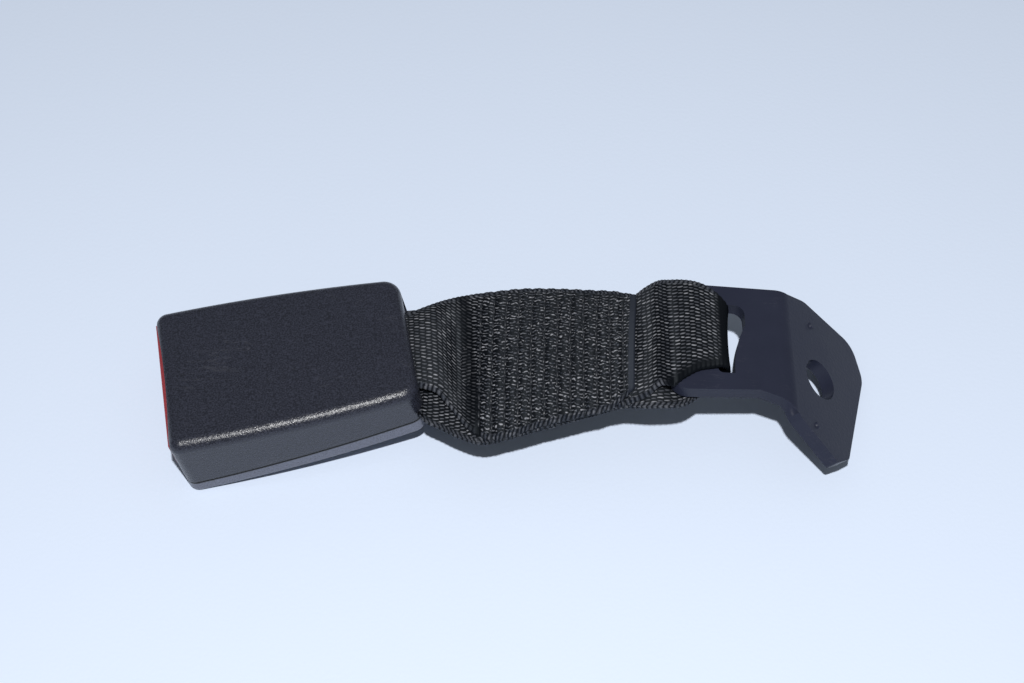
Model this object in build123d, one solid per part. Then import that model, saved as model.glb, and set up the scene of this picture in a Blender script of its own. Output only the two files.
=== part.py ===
"""Rear-seat seat belt buckle on a short stitched webbing stalk with a bolted anchor plate.

Three frames are used, all in millimetres.  The buckle frame has its origin on the parting line at
the button end: x runs from the button to the webbing mouth, y across, z towards the upper cover.
The stalk frame starts where the webbing flexes outside the mouth, with x along the webbing.  The
plate frame starts at the plate's inner edge, with x towards the bolt tab and z = 0 on its underside.
place_assembly() stands all three on the floor, centred over the origin.
"""
import os
from math import asin, atan2, cos, degrees, radians, sin, sqrt, tan

from build123d import *

# ---------------------------------------------------------------- casing, sized round the steel frame
steel = 2.5
frame_width = 31.0
casing_length = 68.0
casing_front_width = frame_width + 15.0
casing_rear_width = frame_width + 9.0
casing_side_bulge = 1.2
casing_front_rise = 18.8
casing_rear_rise = 12.4
casing_front_depth = 4.4
casing_rear_depth = 5.6
casing_wall = 2.0
casing_top_radius = 3.0
casing_bottom_radius = 1.4
casing_front_corner = 3.2
casing_rear_corner = 5.0
button_scoop = 1.2
parting_gap = 0.3
lip_height = 1.2
lip_thickness = 0.9
mouth_width = frame_width + 2.0
mouth_height = 9.0
hook_width = 4.0
hook_thickness = 1.1
hook_height = 5.0
hook_nose = 0.6
front_hook_x = 5.0
rear_hook_x = casing_length - 21.0
rib_thickness = 1.2

# ---------------------------------------------------------------- steel frame
pin_to_casing_end = 11.0
base_to_pin = 8.0
webbing_pin_x = casing_length - pin_to_casing_end
frame_start = 7.6
frame_base_top = 1.0
frame_base_end = webbing_pin_x - base_to_pin
frame_front_height = 6.4
frame_rear_height = 9.6
frame_bend_radius = 1.6
tooth_window_length = 6.0
tooth_play = 1.1
tooth_window_width = 17.0
stop_tab_width = 10.0
stop_tab_height = 4.7

# ---------------------------------------------------------------- spring bridge, in front of the latch axle
latch_axle_x = frame_base_end - 5.0
bridge_x = latch_axle_x - 18.0
bridge_length = 11.0
bridge_thickness = 1.5
bridge_flange_rise = 2.2
tenon_length = 3.0

# ---------------------------------------------------------------- latch
latch_axle_z = 7.0
latch_axle_diameter = 3.0
latch_thickness = 3.0
latch_width = 20.0
latch_tooth_width = 15.0
latch_tooth_x = bridge_x - 6.5
tooth_window_x = latch_tooth_x - tooth_play
latch_tooth_length = 3.0
latch_nose_rise = 1.8
latch_nose_length = 6.0
latch_ear_x = bridge_x + 4.0
latch_ear_length = 3.0
latch_lift_angle = 4.2
latch_drop = 2.7
rivet_head = 0.8

# ---------------------------------------------------------------- ejector
ejector_x = latch_tooth_x - 3.5
ejector_length = 18.0
ejector_play = 0.8
ejector_width = frame_width - 2 * steel - 2 * ejector_play
ejector_thickness = 3.2
ejector_travel = 12.0
keel_width = 2.4
keel_spread = 8.0
keel_length = 3.0
channel_width = 3.8

# ---------------------------------------------------------------- release button
button_width = frame_width + 10.0
button_depth = 12.0
button_bottom = 7.6
button_travel = 5.5
button_wall = 1.8
button_dish = 0.5
arm_thickness = 2.3
arm_end = latch_ear_x + 3.0
arm_low_edge = -0.5
arm_ramp_top = 6.2
arm_ramp_x = latch_ear_x - 1.8
arm_ramp_slope = 36.5
barb_depth = 0.8
button_spring_spread = frame_width / 2 - 3.5
spring_boss_diameter = 5.4
spring_boss_end = 9.0

# ---------------------------------------------------------------- tongue guide
slot_width = 27.0
slot_height = 5.6
guide_depth = 6.3
guide_flange = 1.7
slot_chamfer = 0.4

# ---------------------------------------------------------------- springs
button_spring_diameter = 3.2
button_spring_rise = 1.2
ejector_spring_diameter = 3.2
latch_spring_diameter = 4.6
button_wire = 0.5
ejector_wire = 0.5
latch_wire = 0.7
button_spring_turns = 4
ejector_spring_turns = 5
latch_spring_turns = 3
wire_sides = 5
latch_wire_pitch = 1.3
latch_spring_foot = 4.0
spigot_length = 3.4

# ---------------------------------------------------------------- webbing and its pin
webbing_width = 47.0
webbing_thickness = 1.2
folded_width = 20.0
webbing_pin_diameter = 6.0
pin_head_diameter = 8.0
clip_diameter = 8.4
clip_thickness = 0.8
clip_mouth = 3.2
pin_head_thickness = 1.2
pin_groove = 1.0
loop_end = casing_length + 2.0
mouth_to_flex = 6.1
stalk_start = 8.0
stalk_length = 47.0
stalk_arch = 2.4
stalk_offset = -6.0
anchor_flex = 58.0
plate_start = 64.0
plate_offset = 8.5

# ---------------------------------------------------------------- anchor plate
plate_thickness = 4.0
bar_width = 13.0
plate_slot_width = 8.4
plate_slot_length = 22.6
plate_slot_corner = 1.5
plate_slot_throat = 4.6
plate_slot_shoulder = 6.5
plate_slot_sweep = 0.9
plate_slot_y = 6.0
bend_x = 29.9
bend_angle = 39.4
bend_radius = 3.0
plate_south = -11.3
plate_north = 23.9
bend_south = -13.0
bend_north = 23.2
plate_corner = 5.0
bolt_hole_diameter = 12.0
bolt_hole_x = 11.4
tab_length = 32.0
tab_end_y = 9.5
tab_crown_x = 28.5
tab_crown_y = 19.8
tab_tip_x = 15.6
tab_tip_y = -25.0
tab_blunt = 5.4
tab_tip_radius = 1.4
tab_corner = 7.0
tab_neck = 1.5
tab_flare = 1.8
tab_shoulder = 7.5
tab_swell = 1.3
flat_waist_x = 24.0
flat_waist = 1.0
pip_diameter = 2.2
pip_height = 0.5
north_pip = (-1.7, 17.3)
south_pip = (-3.5, -16.4)

# ---------------------------------------------------------------- how the pieces lie
buckle_yaw = 10.2
buckle_pitch = 9.4
stalk_yaw = -1.114
stalk_pitch = 7.013
plate_yaw = 0.359
plate_pitch = -5.525
plate_roll = 0.471
floor_point = (-72.0, -20.0)

# ---------------------------------------------------------------- clearances
running = 0.3
snug = 0.05
slide = 0.2


# ================================================================ casing form
def along(x, front, rear):
    """A size that changes evenly from the button end to the webbing end."""
    return front + (rear - front) * x / casing_length


def half_width(x):
    """Outside half width of the casing: an even taper with a shallow bulge."""
    t = x / casing_length
    return along(x, casing_front_width, casing_rear_width) / 2 + 4 * casing_side_bulge * t * (1 - t)


def roof(x):
    return along(x, casing_front_rise, casing_rear_rise)


def underside(x):
    return -along(x, casing_front_depth, casing_rear_depth)


def ceiling(x):
    """Inside height of the upper cover."""
    return roof(x) - casing_wall


def inner_floor(x):
    return underside(x) + casing_wall


def inner_half_width(x):
    return half_width(x) - casing_wall


def box(x0, x1, y0, y1, z0, z1):
    """A block between two corners."""
    return Pos((x0 + x1) / 2, (y0 + y1) / 2, (z0 + z1) / 2) * Box(x1 - x0, y1 - y0, z1 - z0)


def side_prism(points, half):
    """A closed outline of (x, z) points drawn out to +-half in y."""
    face = make_face(Polyline(*points, close=True))
    return extrude(Plane.XZ * face, half, both=True)


def cross_rod(x, z, diameter, y0, y1):
    """A round bar or bore along y."""
    return Pos(x, (y0 + y1) / 2, z) * Rot(X=90) * Cylinder(diameter / 2, y1 - y0)


def mirrored(solid):
    return mirror(solid, Plane.XZ)


def casing_form(inset):
    """The closed casing volume, drawn in from its outside by inset on every side."""
    x0, x1 = inset, casing_length - inset
    middle = casing_length / 2
    near0, near1 = half_width(x0) - inset, half_width(x1) - inset
    bulge = half_width(middle) - inset
    plan = Wire(
        [
            Line((x0, -near0), (x0, near0)),
            ThreePointArc((x0, near0), (middle, bulge), (x1, near1)),
            Line((x1, near1), (x1, -near1)),
            ThreePointArc((x1, -near1), (middle, -bulge), (x0, -near0)),
        ]
    )
    tall = extrude(make_face(plan), casing_front_rise * 2, both=True)
    side = [
        (x0, underside(x0) + inset),
        (x1, underside(x1) + inset),
        (x1, roof(x1) - inset),
        (x0, roof(x0) - inset),
    ]
    form = tall & side_prism(side, casing_front_width)
    upright = form.edges().filter_by(Axis.Z).sort_by(Axis.X)
    smallest = 0.4
    form = fillet(upright[:2], max(casing_front_corner - inset, smallest))
    upright = form.edges().filter_by(Axis.Z).sort_by(Axis.X)
    form = fillet(upright[-2:], max(casing_rear_corner - inset, smallest))
    top = form.faces().sort_by(Axis.Z)[-1]
    form = fillet(top.edges(), max(casing_top_radius - inset, smallest))
    bottom = form.faces().sort_by(Axis.Z)[0]
    return fillet(bottom.edges(), max(casing_bottom_radius - inset, smallest))


def casing_halves():
    """Upper and lower shells, with the button scoop and the webbing mouth cut through both."""
    shell = casing_form(0) - casing_form(casing_wall)
    reach = casing_length * 2
    upper = shell & box(-reach, reach, -reach, reach, parting_gap / 2, reach)
    lower = shell & box(-reach, reach, -reach, reach, -reach, -parting_gap / 2)
    opening = inner_half_width(casing_wall)
    upper -= box(-1, casing_wall + 1, -opening, opening, -1, ceiling(0))
    scoop_radius = (opening**2 + button_scoop**2) / (2 * button_scoop)
    scoop = Pos(button_scoop - scoop_radius, 0, casing_front_rise) * Cylinder(scoop_radius, casing_front_rise * 2)
    upper -= scoop & box(-reach, reach, -opening, opening, ceiling(0) - 1, reach)
    mouth = RectangleRounded(mouth_width, mouth_height, casing_wall)
    cutter = extrude(Plane.YZ * mouth, casing_rear_corner)
    cutter = Pos(casing_length - casing_wall - running, 0, pin_height()) * cutter
    return upper - cutter, lower - cutter


def pin_height():
    """Half way between the floor and the ceiling at the webbing pin."""
    return (ceiling(webbing_pin_x) + inner_floor(webbing_pin_x)) / 2


def snap_hook(x):
    """One upright hook of the lower cover, with its nose pointing outwards."""
    wall = inner_half_width(x) - slide
    root = inner_floor(x) - casing_wall / 2
    stem = box(x - hook_width / 2, x + hook_width / 2, wall - hook_thickness, wall, root, hook_height)
    nose = make_face(
        Polyline((0, 0), (hook_nose, 0), (0, hook_nose * 2.4), close=True)
    )
    nose = extrude(Plane.YZ * nose, hook_width / 2, both=True)
    return stem + Pos(x, wall, hook_height - hook_nose * 2.4) * nose


def hook_pocket(x):
    """The pocket in the upper cover that the hook's nose springs into."""
    wall = inner_half_width(x)
    tall = hook_nose * 2.4
    return box(
        x - hook_width / 2 - slide,
        x + hook_width / 2 + slide,
        wall - hook_nose,
        wall + hook_nose - slide / 2,
        hook_height - tall - slide,
        hook_height + slide,
    )


def upper_cover(upper):
    """Upper shell with hook pockets, button stop ribs and a rib that holds the steel frame down."""
    for x in (front_hook_x, rear_hook_x):
        pocket = hook_pocket(x)
        upper -= pocket
        upper -= mirrored(pocket)
    stop_x = arm_end - barb_depth * 3
    outer = inner_half_width(stop_x) + casing_wall / 2
    inner = frame_width / 2 + running + arm_thickness + slide
    stop = box(stop_x - rib_thickness * 2, stop_x, inner, outer, lip_height + running, frame_front_height)
    upper += stop
    upper += mirrored(stop)
    hold_x = frame_base_end - rib_thickness
    hold = box(hold_x, frame_base_end, -frame_width / 2, frame_width / 2, frame_rear_height, roof(hold_x) - 1)
    return upper + hold


def locating_lip():
    """Stepped lip along both sides: rooted in the lower wall, standing inside the upper one."""
    width = casing_front_width
    x0, x1 = arm_end + button_travel + 1, casing_length - casing_rear_corner * 2
    hollow = casing_form(casing_wall + slide + lip_thickness)
    parting = -parting_gap / 2
    root = casing_form(casing_wall - running) & box(x0, x1, -width, width, parting - lip_height, parting)
    rise = casing_form(casing_wall + slide) & box(x0, x1, -width, width, parting, lip_height)
    return root + rise - hollow


def lower_cover(lower):
    """Lower shell with its locating lip, four snap hooks and the ribs that the frame sits on."""
    for x in (front_hook_x, rear_hook_x):
        hook = snap_hook(x)
        lower += hook
        lower += mirrored(hook)
    lower += locating_lip()
    seat = frame_base_top - steel
    for x in (frame_start + rib_thickness, latch_ear_x, frame_base_end - rib_thickness * 2):
        lower += box(x, x + rib_thickness, -frame_width / 2, frame_width / 2, inner_floor(x) - 1, seat)
    return lower


# ================================================================ steel frame
def frame_side_outline():
    """Side wall profile, with a round tail about the webbing pin."""
    low = frame_base_top - steel
    pin_z = pin_height()
    tail = pin_z - low
    rise_x = button_depth + button_travel + 1.0
    shoulder = bridge_height()
    edges = [
        Line((frame_start, low), (webbing_pin_x, low)),
        ThreePointArc((webbing_pin_x, low), (webbing_pin_x + tail, pin_z), (webbing_pin_x, pin_z + tail)),
        Polyline(
            (webbing_pin_x, pin_z + tail),
            (frame_base_end, frame_rear_height),
            (latch_axle_x, frame_rear_height),
            (bridge_x + bridge_length + 1, shoulder),
            (bridge_x, shoulder),
            (rise_x, frame_front_height),
            (frame_start, frame_front_height),
            (frame_start, low),
        ),
    ]
    return make_face(edges)


def bridge_height():
    """Underside of the spring bridge: clear of the lifted latch."""
    lift = (latch_axle_x - bridge_x) * sin(radians(latch_lift_angle))
    return latch_axle_z + latch_thickness / 2 + lift + running


def ear_slot():
    """Open-topped slot in both side walls for the latch ears, from the locked to the lifted height."""
    half = latch_ear_length / 2 + running
    low = latch_axle_z - latch_thickness / 2 - latch_drop - running
    return box(latch_ear_x - half, latch_ear_x + half * 1.3, -frame_width, frame_width, low, bridge_height() + 1)


def tenon_span():
    start = bridge_x + bridge_length - tenon_length - 1.2
    return start, start + tenon_length


def buckle_frame():
    """Pressed steel channel: base, two side walls, tooth window, ejector slots and a spring stop."""
    half = frame_width / 2
    inside = half - steel
    base_low = frame_base_top - steel
    channel = make_face(Polyline((-half, base_low), (half, base_low), (half, casing_front_rise),
                                 (inside, casing_front_rise), (inside, frame_base_top), (-inside, frame_base_top),
                                 (-inside, casing_front_rise), (-half, casing_front_rise), close=True))
    channel = fillet(channel.vertices().group_by(Axis.Y)[0], frame_bend_radius)
    body = extrude(Plane.YZ * channel, casing_length)
    body = body & extrude(Plane.XZ * frame_side_outline(), half, both=True)
    body -= box(frame_base_end, casing_length, -inside, inside, base_low - 1, frame_base_top + 1)
    body -= ear_slot()
    window_half = tooth_window_width / 2
    body -= box(tooth_window_x, tooth_window_x + tooth_window_length, -window_half, window_half, base_low - 1,
                frame_base_top + 1)
    stop_x = frame_base_end - steel
    body += box(stop_x, frame_base_end, -stop_tab_width / 2, stop_tab_width / 2, frame_base_top - 0.5, stop_tab_height)
    keel_x = ejector_x + ejector_length - keel_length - running
    for y in (-keel_spread, keel_spread):
        slot_half = keel_width / 2 + slide
        body -= box(keel_x - running, keel_x + keel_length + ejector_travel + running * 2, y - slot_half,
                    y + slot_half, base_low - 1, frame_base_top + 1)
    x0, x1 = tenon_span()
    for y0, y1 in ((-half, -inside), (inside, half)):
        body += box(x0, x1, y0, y1, bridge_height() - 0.5, bridge_height() + bridge_thickness + 0.3)
    body -= cross_rod(latch_axle_x, latch_axle_z, latch_axle_diameter + 2 * snug, -half - 1, half + 1)
    body -= cross_rod(webbing_pin_x, pin_height(), webbing_pin_diameter + 2 * snug, -half - 1, half + 1)
    return body


def spring_bridge():
    """Steel cross plate staked on the side walls: it seats the button springs and closes the ear slots."""
    half = frame_width / 2
    low = bridge_height()
    plate = box(bridge_x, bridge_x + bridge_length, -half, half, low, low + bridge_thickness)
    flange_half = button_spring_spread + button_spring_diameter
    plate += box(bridge_x, bridge_x + bridge_thickness, -flange_half, flange_half, low,
                 low + bridge_thickness + bridge_flange_rise)
    x0, x1 = tenon_span()
    for y0, y1 in ((-half - 1, -half + steel + snug), (half - steel - snug, half + 1)):
        plate -= box(x0 - snug, x1 + snug, y0, y1, low - 1, low + bridge_thickness + 1)
    opening = box(bridge_x + bridge_thickness * 2, bridge_x + bridge_length - 2, -5, 5, low - 1, low + 3)
    return plate - opening


# ================================================================ latch
def latch():
    """Stamped latch plate: tooth with a lead-in ramp, lift ears, axle knuckles and a spring window."""
    low = latch_axle_z - latch_thickness / 2
    high = latch_axle_z + latch_thickness / 2
    tip = ejector_top() + running
    tooth_end = latch_tooth_x + latch_tooth_length
    nose_end = latch_tooth_x + latch_nose_length
    outline = [
        (latch_tooth_x + latch_tooth_length * 0.6, tip),
        (tooth_end, tip),
        (tooth_end, low + latch_nose_rise),
        (nose_end - latch_nose_rise, low + latch_nose_rise),
        (nose_end, low),
        (latch_axle_x, low),
        (latch_axle_x, high),
        (nose_end, high),
        (nose_end - latch_nose_rise, high + latch_nose_rise),
        (latch_tooth_x, high + latch_nose_rise),
        (latch_tooth_x, low + latch_nose_rise),
    ]
    plate = side_prism(outline, latch_width / 2)
    plate += cross_rod(latch_axle_x, latch_axle_z, latch_thickness + 1.6, -latch_width / 2, latch_width / 2)
    trim = (latch_width - latch_tooth_width) / 2
    corner = box(0, tooth_end + 0.5, latch_tooth_width / 2, latch_width / 2 + trim, 0, casing_front_rise)
    plate -= corner
    plate -= mirrored(corner)
    ear = latch_ear_length / 2
    reach = frame_width / 2 + arm_thickness
    plate += box(latch_ear_x - ear, latch_ear_x + ear, -reach, reach, low, high)
    spring_half = latch_spring_turns * latch_wire * latch_wire_pitch / 2 + latch_wire
    plate -= box(latch_axle_x - latch_spring_diameter, latch_axle_x + latch_spring_diameter, -spring_half,
                 spring_half, 0, casing_front_rise)
    return plate - cross_rod(latch_axle_x, latch_axle_z, latch_axle_diameter + 2 * snug, -latch_width, latch_width)


def latch_axle():
    """Riveted pin across the side walls."""
    half = frame_width / 2
    pin = cross_rod(latch_axle_x, latch_axle_z, latch_axle_diameter, -half, half)
    for y in (-half - rivet_head, half):
        pin += cross_rod(latch_axle_x, latch_axle_z, latch_axle_diameter * 1.6, y, y + rivet_head)
    return pin


# ================================================================ ejector
def ejector_low():
    return frame_base_top + slide


def ejector_top():
    return ejector_low() + ejector_thickness


def ejector():
    """Plastic slider that pushes the tongue out: spring channel, spigot and two keels in the base slots."""
    half = ejector_width / 2
    low, high = ejector_low(), ejector_top()
    end = ejector_x + ejector_length
    block = box(ejector_x, end, -half, half, low, high)
    block = chamfer(block.edges().filter_by(Axis.Z), 1.0)
    channel_start = ejector_x + ejector_length / 3
    block -= box(channel_start, end + 1, -channel_width / 2, channel_width / 2, low - 1, high + 1)
    spigot_diameter = ejector_spring_diameter - 2 * ejector_wire - 2 * slide
    spigot = Pos(channel_start + spigot_length / 3, 0, (low + high) / 2) * Rot(Y=90)
    spigot = spigot * Cylinder(spigot_diameter / 2, spigot_length)
    block += spigot
    for y in (-keel_spread, keel_spread):
        block += box(end - keel_length - running, end - running, y - keel_width / 2, y + keel_width / 2,
                     frame_base_top - steel * 0.6, low + 1)
    return block


# ================================================================ release button
def button_roof(x):
    """Top of the button: under the sloping ceiling when the button is pressed home."""
    return ceiling(x + button_travel) - slide


def button_arm():
    """One side arm: it straddles the frame, and its ramp lifts the latch ear."""
    y0 = frame_width / 2 + running
    run = (arm_ramp_top - low_ramp()) / tan(radians(arm_ramp_slope))
    outline = [
        (frame_start, arm_low_edge),
        (arm_end, arm_low_edge),
        (arm_end, low_ramp()),
        (arm_ramp_x, low_ramp()),
        (arm_ramp_x - run, arm_ramp_top),
        (arm_ramp_x - run - 2.5, frame_rear_height),
        (button_depth - 4, frame_rear_height),
        (button_depth - 4, button_bottom),
        (frame_start, button_bottom),
    ]
    arm = extrude(Plane.XZ * make_face(Polyline(*outline, close=True)), arm_thickness)
    arm = Pos(0, y0 + arm_thickness, 0) * arm
    barb_x = arm_end - barb_depth * 3 + running
    outer = y0 + arm_thickness
    barb = make_face(Polyline((barb_x, outer - 0.5), (barb_x, outer + barb_depth), (arm_end, outer),
                              (arm_end, outer - 0.5), close=True))
    return arm + Pos(0, 0, arm_low_edge + 2 * running) * extrude(barb, low_ramp() - arm_low_edge - 2 * running)


def low_ramp():
    """Low end of the ramp: under the ear of a locked latch."""
    return latch_axle_z - latch_thickness / 2 - latch_drop - running


def release_button():
    """Hollow red button: dished push face, spring bosses with spigots, and two lifting arms."""
    half = button_width / 2
    front = button_scoop / 4
    face = [
        (front, button_bottom),
        (button_depth, button_bottom),
        (button_depth, button_roof(button_depth)),
        (front, button_roof(front)),
    ]
    block = side_prism(face, half)
    upright = block.edges().filter_by(Axis.Z).sort_by(Axis.X)
    block = fillet(upright[:2], casing_front_corner - casing_wall)
    dish_radius = (half**2 + button_dish**2) / (2 * button_dish)
    block -= Pos(front + button_dish - dish_radius, 0, casing_front_rise / 2) * Cylinder(dish_radius, casing_front_rise * 2)
    cavity = [
        (front + button_dish + button_wall, button_bottom + button_wall),
        (button_depth + 1, button_bottom + button_wall),
        (button_depth + 1, button_roof(button_depth + 1) - button_wall),
        (front + button_dish + button_wall, button_roof(front + button_wall) - button_wall),
    ]
    block -= side_prism(cavity, half - arm_thickness - button_wall)
    for y in (-button_spring_spread, button_spring_spread):
        boss = Pos((spring_boss_end + button_wall) / 2, y, spring_line()) * Rot(Y=90)
        block += boss * Cylinder(spring_boss_diameter / 2, spring_boss_end - button_wall)
        spigot_radius = button_spring_diameter / 2 - button_wire - slide
        block += Pos(spring_boss_end + 1, y, spring_line()) * Rot(Y=90) * Cylinder(spigot_radius, spigot_length)
    arm = button_arm()
    return block + arm + mirrored(arm)


def spring_line():
    """Height of the button springs' axes on the bridge flange."""
    return bridge_height() + button_spring_rise


# ================================================================ tongue guide
def tongue_guide():
    """Plastic entry bezel between the lower cover and the button, with a chamfered slot."""
    low = parting_gap / 2 + running / 2
    high = button_bottom - slide
    front = button_scoop - running
    flange_half = inner_half_width(front) - running
    collar_half = frame_width / 2
    guide = box(front, front + guide_flange, -flange_half, flange_half, low, high)
    guide += box(front, front + guide_depth, -collar_half, collar_half, low, high)
    foot = inner_floor(front + guide_depth) + running
    guide += box(casing_wall + running, front + guide_depth, -collar_half, collar_half, foot, low + 0.5)
    slot = box(-1, casing_length, -slot_width / 2, slot_width / 2, frame_base_top, frame_base_top + slot_height)
    guide -= slot
    rim = guide.faces().filter_by(Axis.X).sort_by(Axis.X)[0].inner_wires()[0].edges()
    return chamfer(rim, slot_chamfer)


# ================================================================ springs
def coil(diameter, wire, turns, length):
    """Open compression coil along +x from the origin, measured over its wire ends."""
    radius = (diameter - wire) / 2
    span = length - wire
    path = Helix(span / turns, span, radius)
    start = Plane(origin=path @ 0, z_dir=path % 0)
    spring = sweep(start * RegularPolygon(wire / 2, wire_sides), path, is_frenet=True)
    return Pos(wire / 2, 0, 0) * Rot(Y=90) * spring


def button_spring(side):
    length = bridge_x - spring_boss_end - snug
    return Pos(spring_boss_end + snug, side * button_spring_spread, spring_line()) * coil(
        button_spring_diameter, button_wire, button_spring_turns, length)


def ejector_spring():
    start = ejector_x + ejector_length / 3
    length = frame_base_end - steel - start
    middle = (ejector_low() + ejector_top()) / 2
    return Pos(start, 0, middle) * coil(ejector_spring_diameter, ejector_wire, ejector_spring_turns, length)


def latch_spring():
    """Torsion spring round the axle: one leg on the latch, one under the bridge."""
    length = latch_spring_turns * latch_wire * latch_wire_pitch
    turns = Rot(Z=90) * coil(latch_spring_diameter, latch_wire, latch_spring_turns, length)
    spring = Pos(latch_axle_x, -length / 2, latch_axle_z) * turns
    reach = latch_axle_x - bridge_x - bridge_length + latch_spring_foot
    wire_z = latch_axle_z + latch_spring_diameter / 2 - latch_wire / 2
    legs = [
        (-length / 2 + latch_wire / 2, latch_axle_z + latch_thickness / 2 + latch_wire / 2),
        (length / 2 - latch_wire / 2, bridge_height() - latch_wire / 2),
    ]
    for y, far_z in legs:
        drop = far_z - wire_z
        run = sqrt(reach**2 + drop**2)
        tilt = degrees(atan2(drop, reach))
        leg = Pos(latch_axle_x, y, wire_z) * Rot(Y=tilt) * Pos(-run / 2, 0, 0) * Rot(Y=90)
        spring += leg * Cylinder(latch_wire / 2, run)
    return spring


# ================================================================ webbing pin
def webbing_pin():
    """Headed pin through the frame's tails, grooved for its clip."""
    half = frame_width / 2
    z = pin_height()
    end = half + clip_thickness * 2
    pin = cross_rod(webbing_pin_x, z, webbing_pin_diameter, -half, end)
    pin += cross_rod(webbing_pin_x, z, pin_head_diameter, -half - pin_head_thickness, -half)
    groove = cross_rod(webbing_pin_x, z, clip_diameter, half + slide, half + slide + clip_thickness)
    groove -= cross_rod(webbing_pin_x, z, webbing_pin_diameter - pin_groove, half, end)
    return pin - groove


def pin_clip():
    """Open retaining ring in the pin's groove."""
    y = frame_width / 2 + slide
    z = pin_height()
    ring = cross_rod(webbing_pin_x, z, clip_diameter, y, y + clip_thickness - snug)
    far = y + 2 * clip_thickness
    ring -= cross_rod(webbing_pin_x, z, webbing_pin_diameter - pin_groove, y - clip_thickness, far)
    gap = box(webbing_pin_x, webbing_pin_x + clip_diameter, y - clip_thickness, far, z - clip_mouth / 2,
              z + clip_mouth / 2)
    return ring - gap


# ================================================================ webbing
def loop_profile(inner, outer, flat, end):
    """Side outline of a loop about the origin that closes to +-flat at x = end."""
    top = tangent_angle(outer, flat, end)
    arc_x, arc_z = -outer * sin(top), outer * cos(top)
    rim = make_face(
        [
            Line((end, -flat), (end, flat)),
            Line((end, flat), (-arc_x, arc_z)),
            ThreePointArc((-arc_x, arc_z), (-outer, 0), (-arc_x, -arc_z)),
            Line((-arc_x, -arc_z), (end, -flat)),
        ]
    )
    point = end - outer
    top = tangent_angle(inner, 0.0, point)
    arc_x, arc_z = inner * sin(top), inner * cos(top)
    hole = make_face(
        [
            Line((point, 0), (arc_x, arc_z)),
            ThreePointArc((arc_x, arc_z), (-inner, 0), (arc_x, -arc_z)),
            Line((arc_x, -arc_z), (point, 0)),
        ]
    )
    return rim - hole


def tangent_angle(radius, flat, end):
    """Angle of the tangent from a circle of this radius to the point (end, flat)."""
    distance = sqrt(end**2 + flat**2)
    return asin(radius / distance) - atan2(flat, end)


def buckle_loop():
    """Folded webbing round the pin, out through the mouth."""
    fold = 2 * webbing_thickness
    inner = webbing_pin_diameter / 2 + snug
    end = loop_end - webbing_pin_x
    side = loop_profile(inner, inner + fold, fold, end)
    loop = extrude(Plane.XZ * side, webbing_width, both=True)
    narrow = folded_width / 2
    flare = mouth_width / 2 - 1.0
    plan = make_face(Polyline((-inner - fold, -narrow), (inner + fold, -narrow), (end, -flare), (end, flare),
                              (inner + fold, narrow), (-inner - fold, narrow), close=True))
    loop = loop & extrude(plan, casing_front_rise, both=True)
    return Pos(webbing_pin_x, 0, pin_height()) * loop


def stalk_section(width, thick, arch):
    """Webbing cross section in the YZ plane: a shallow arch of even thickness."""
    half = width / 2
    if arch < 0.1:
        return Plane.YZ * Rectangle(width, thick)
    outer = ThreePointArc((-half, thick / 2 - arch), (0, thick / 2), (half, thick / 2 - arch))
    inner = ThreePointArc((half, -thick / 2 - arch), (0, -thick / 2), (-half, -thick / 2 - arch))
    return Plane.YZ * make_face([outer, Line(outer @ 1, inner @ 0), inner, Line(inner @ 1, outer @ 0)])


def stitched_stalk():
    """Three stitched layers of webbing, arched across their width."""
    section = stalk_section(webbing_width, 3 * webbing_thickness, stalk_arch)
    return Pos(stalk_start, stalk_offset, 0) * extrude(section, stalk_length)


def anchor_loop():
    """Folded webbing round the plate's slot bar, in the plate frame."""
    fold = 2 * webbing_thickness
    near = -snug
    far = bar_width + snug
    low, high = -snug, plate_thickness + snug
    tail = anchor_flex + flex_half() - plate_start
    middle = plate_thickness / 2
    outer = [
        (tail, middle - fold),
        (near, low - fold),
        (far, low - fold),
        (far + fold, low),
        (far + fold, high),
        (far, high + fold),
        (near, high + fold),
        (tail, middle + fold),
    ]
    inner = [(near + tail / 3, middle), (near, low), (far, low), (far, high), (near, high)]
    loop = side_prism(outer, folded_width / 2) - side_prism(inner, folded_width)
    return Pos(0, plate_slot_y, 0) * loop


def flex_half():
    """Half the length of the webbing that flexes beside the plate."""
    return anchor_flex - stalk_start - stalk_length


# ================================================================ anchor plate
def tab_place():
    """From the tab's own flat plane to the plate frame: round the bend and down."""
    return Pos(bend_x, 0, -bend_radius) * Rot(Y=bend_angle) * Pos(0, 0, bend_radius)


def webbing_slot():
    """Slot outline: straight along the bar, its far edge swept back to a wide north end."""
    south = plate_slot_y - plate_slot_length / 2
    north = plate_slot_y + plate_slot_length / 2
    throat = bar_width + plate_slot_throat
    wide = bar_width + plate_slot_width
    shoulder = north - plate_slot_shoulder
    sweep_edge = ThreePointArc((throat, south), (throat + plate_slot_sweep, (south + shoulder) / 2), (wide, shoulder))
    outline = [
        Line((bar_width, south), (throat, south)),
        sweep_edge,
        Polyline((wide, shoulder), (wide, north), (bar_width, north), (bar_width, south)),
    ]
    slot = make_face(outline)
    slot = fillet(slot.vertices().group_by(Axis.Y)[-1].sort_by(Axis.X)[-1], plate_slot_corner * 2)
    return fillet(slot.vertices().sort_by(Axis.X)[:2], plate_slot_corner)


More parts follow.
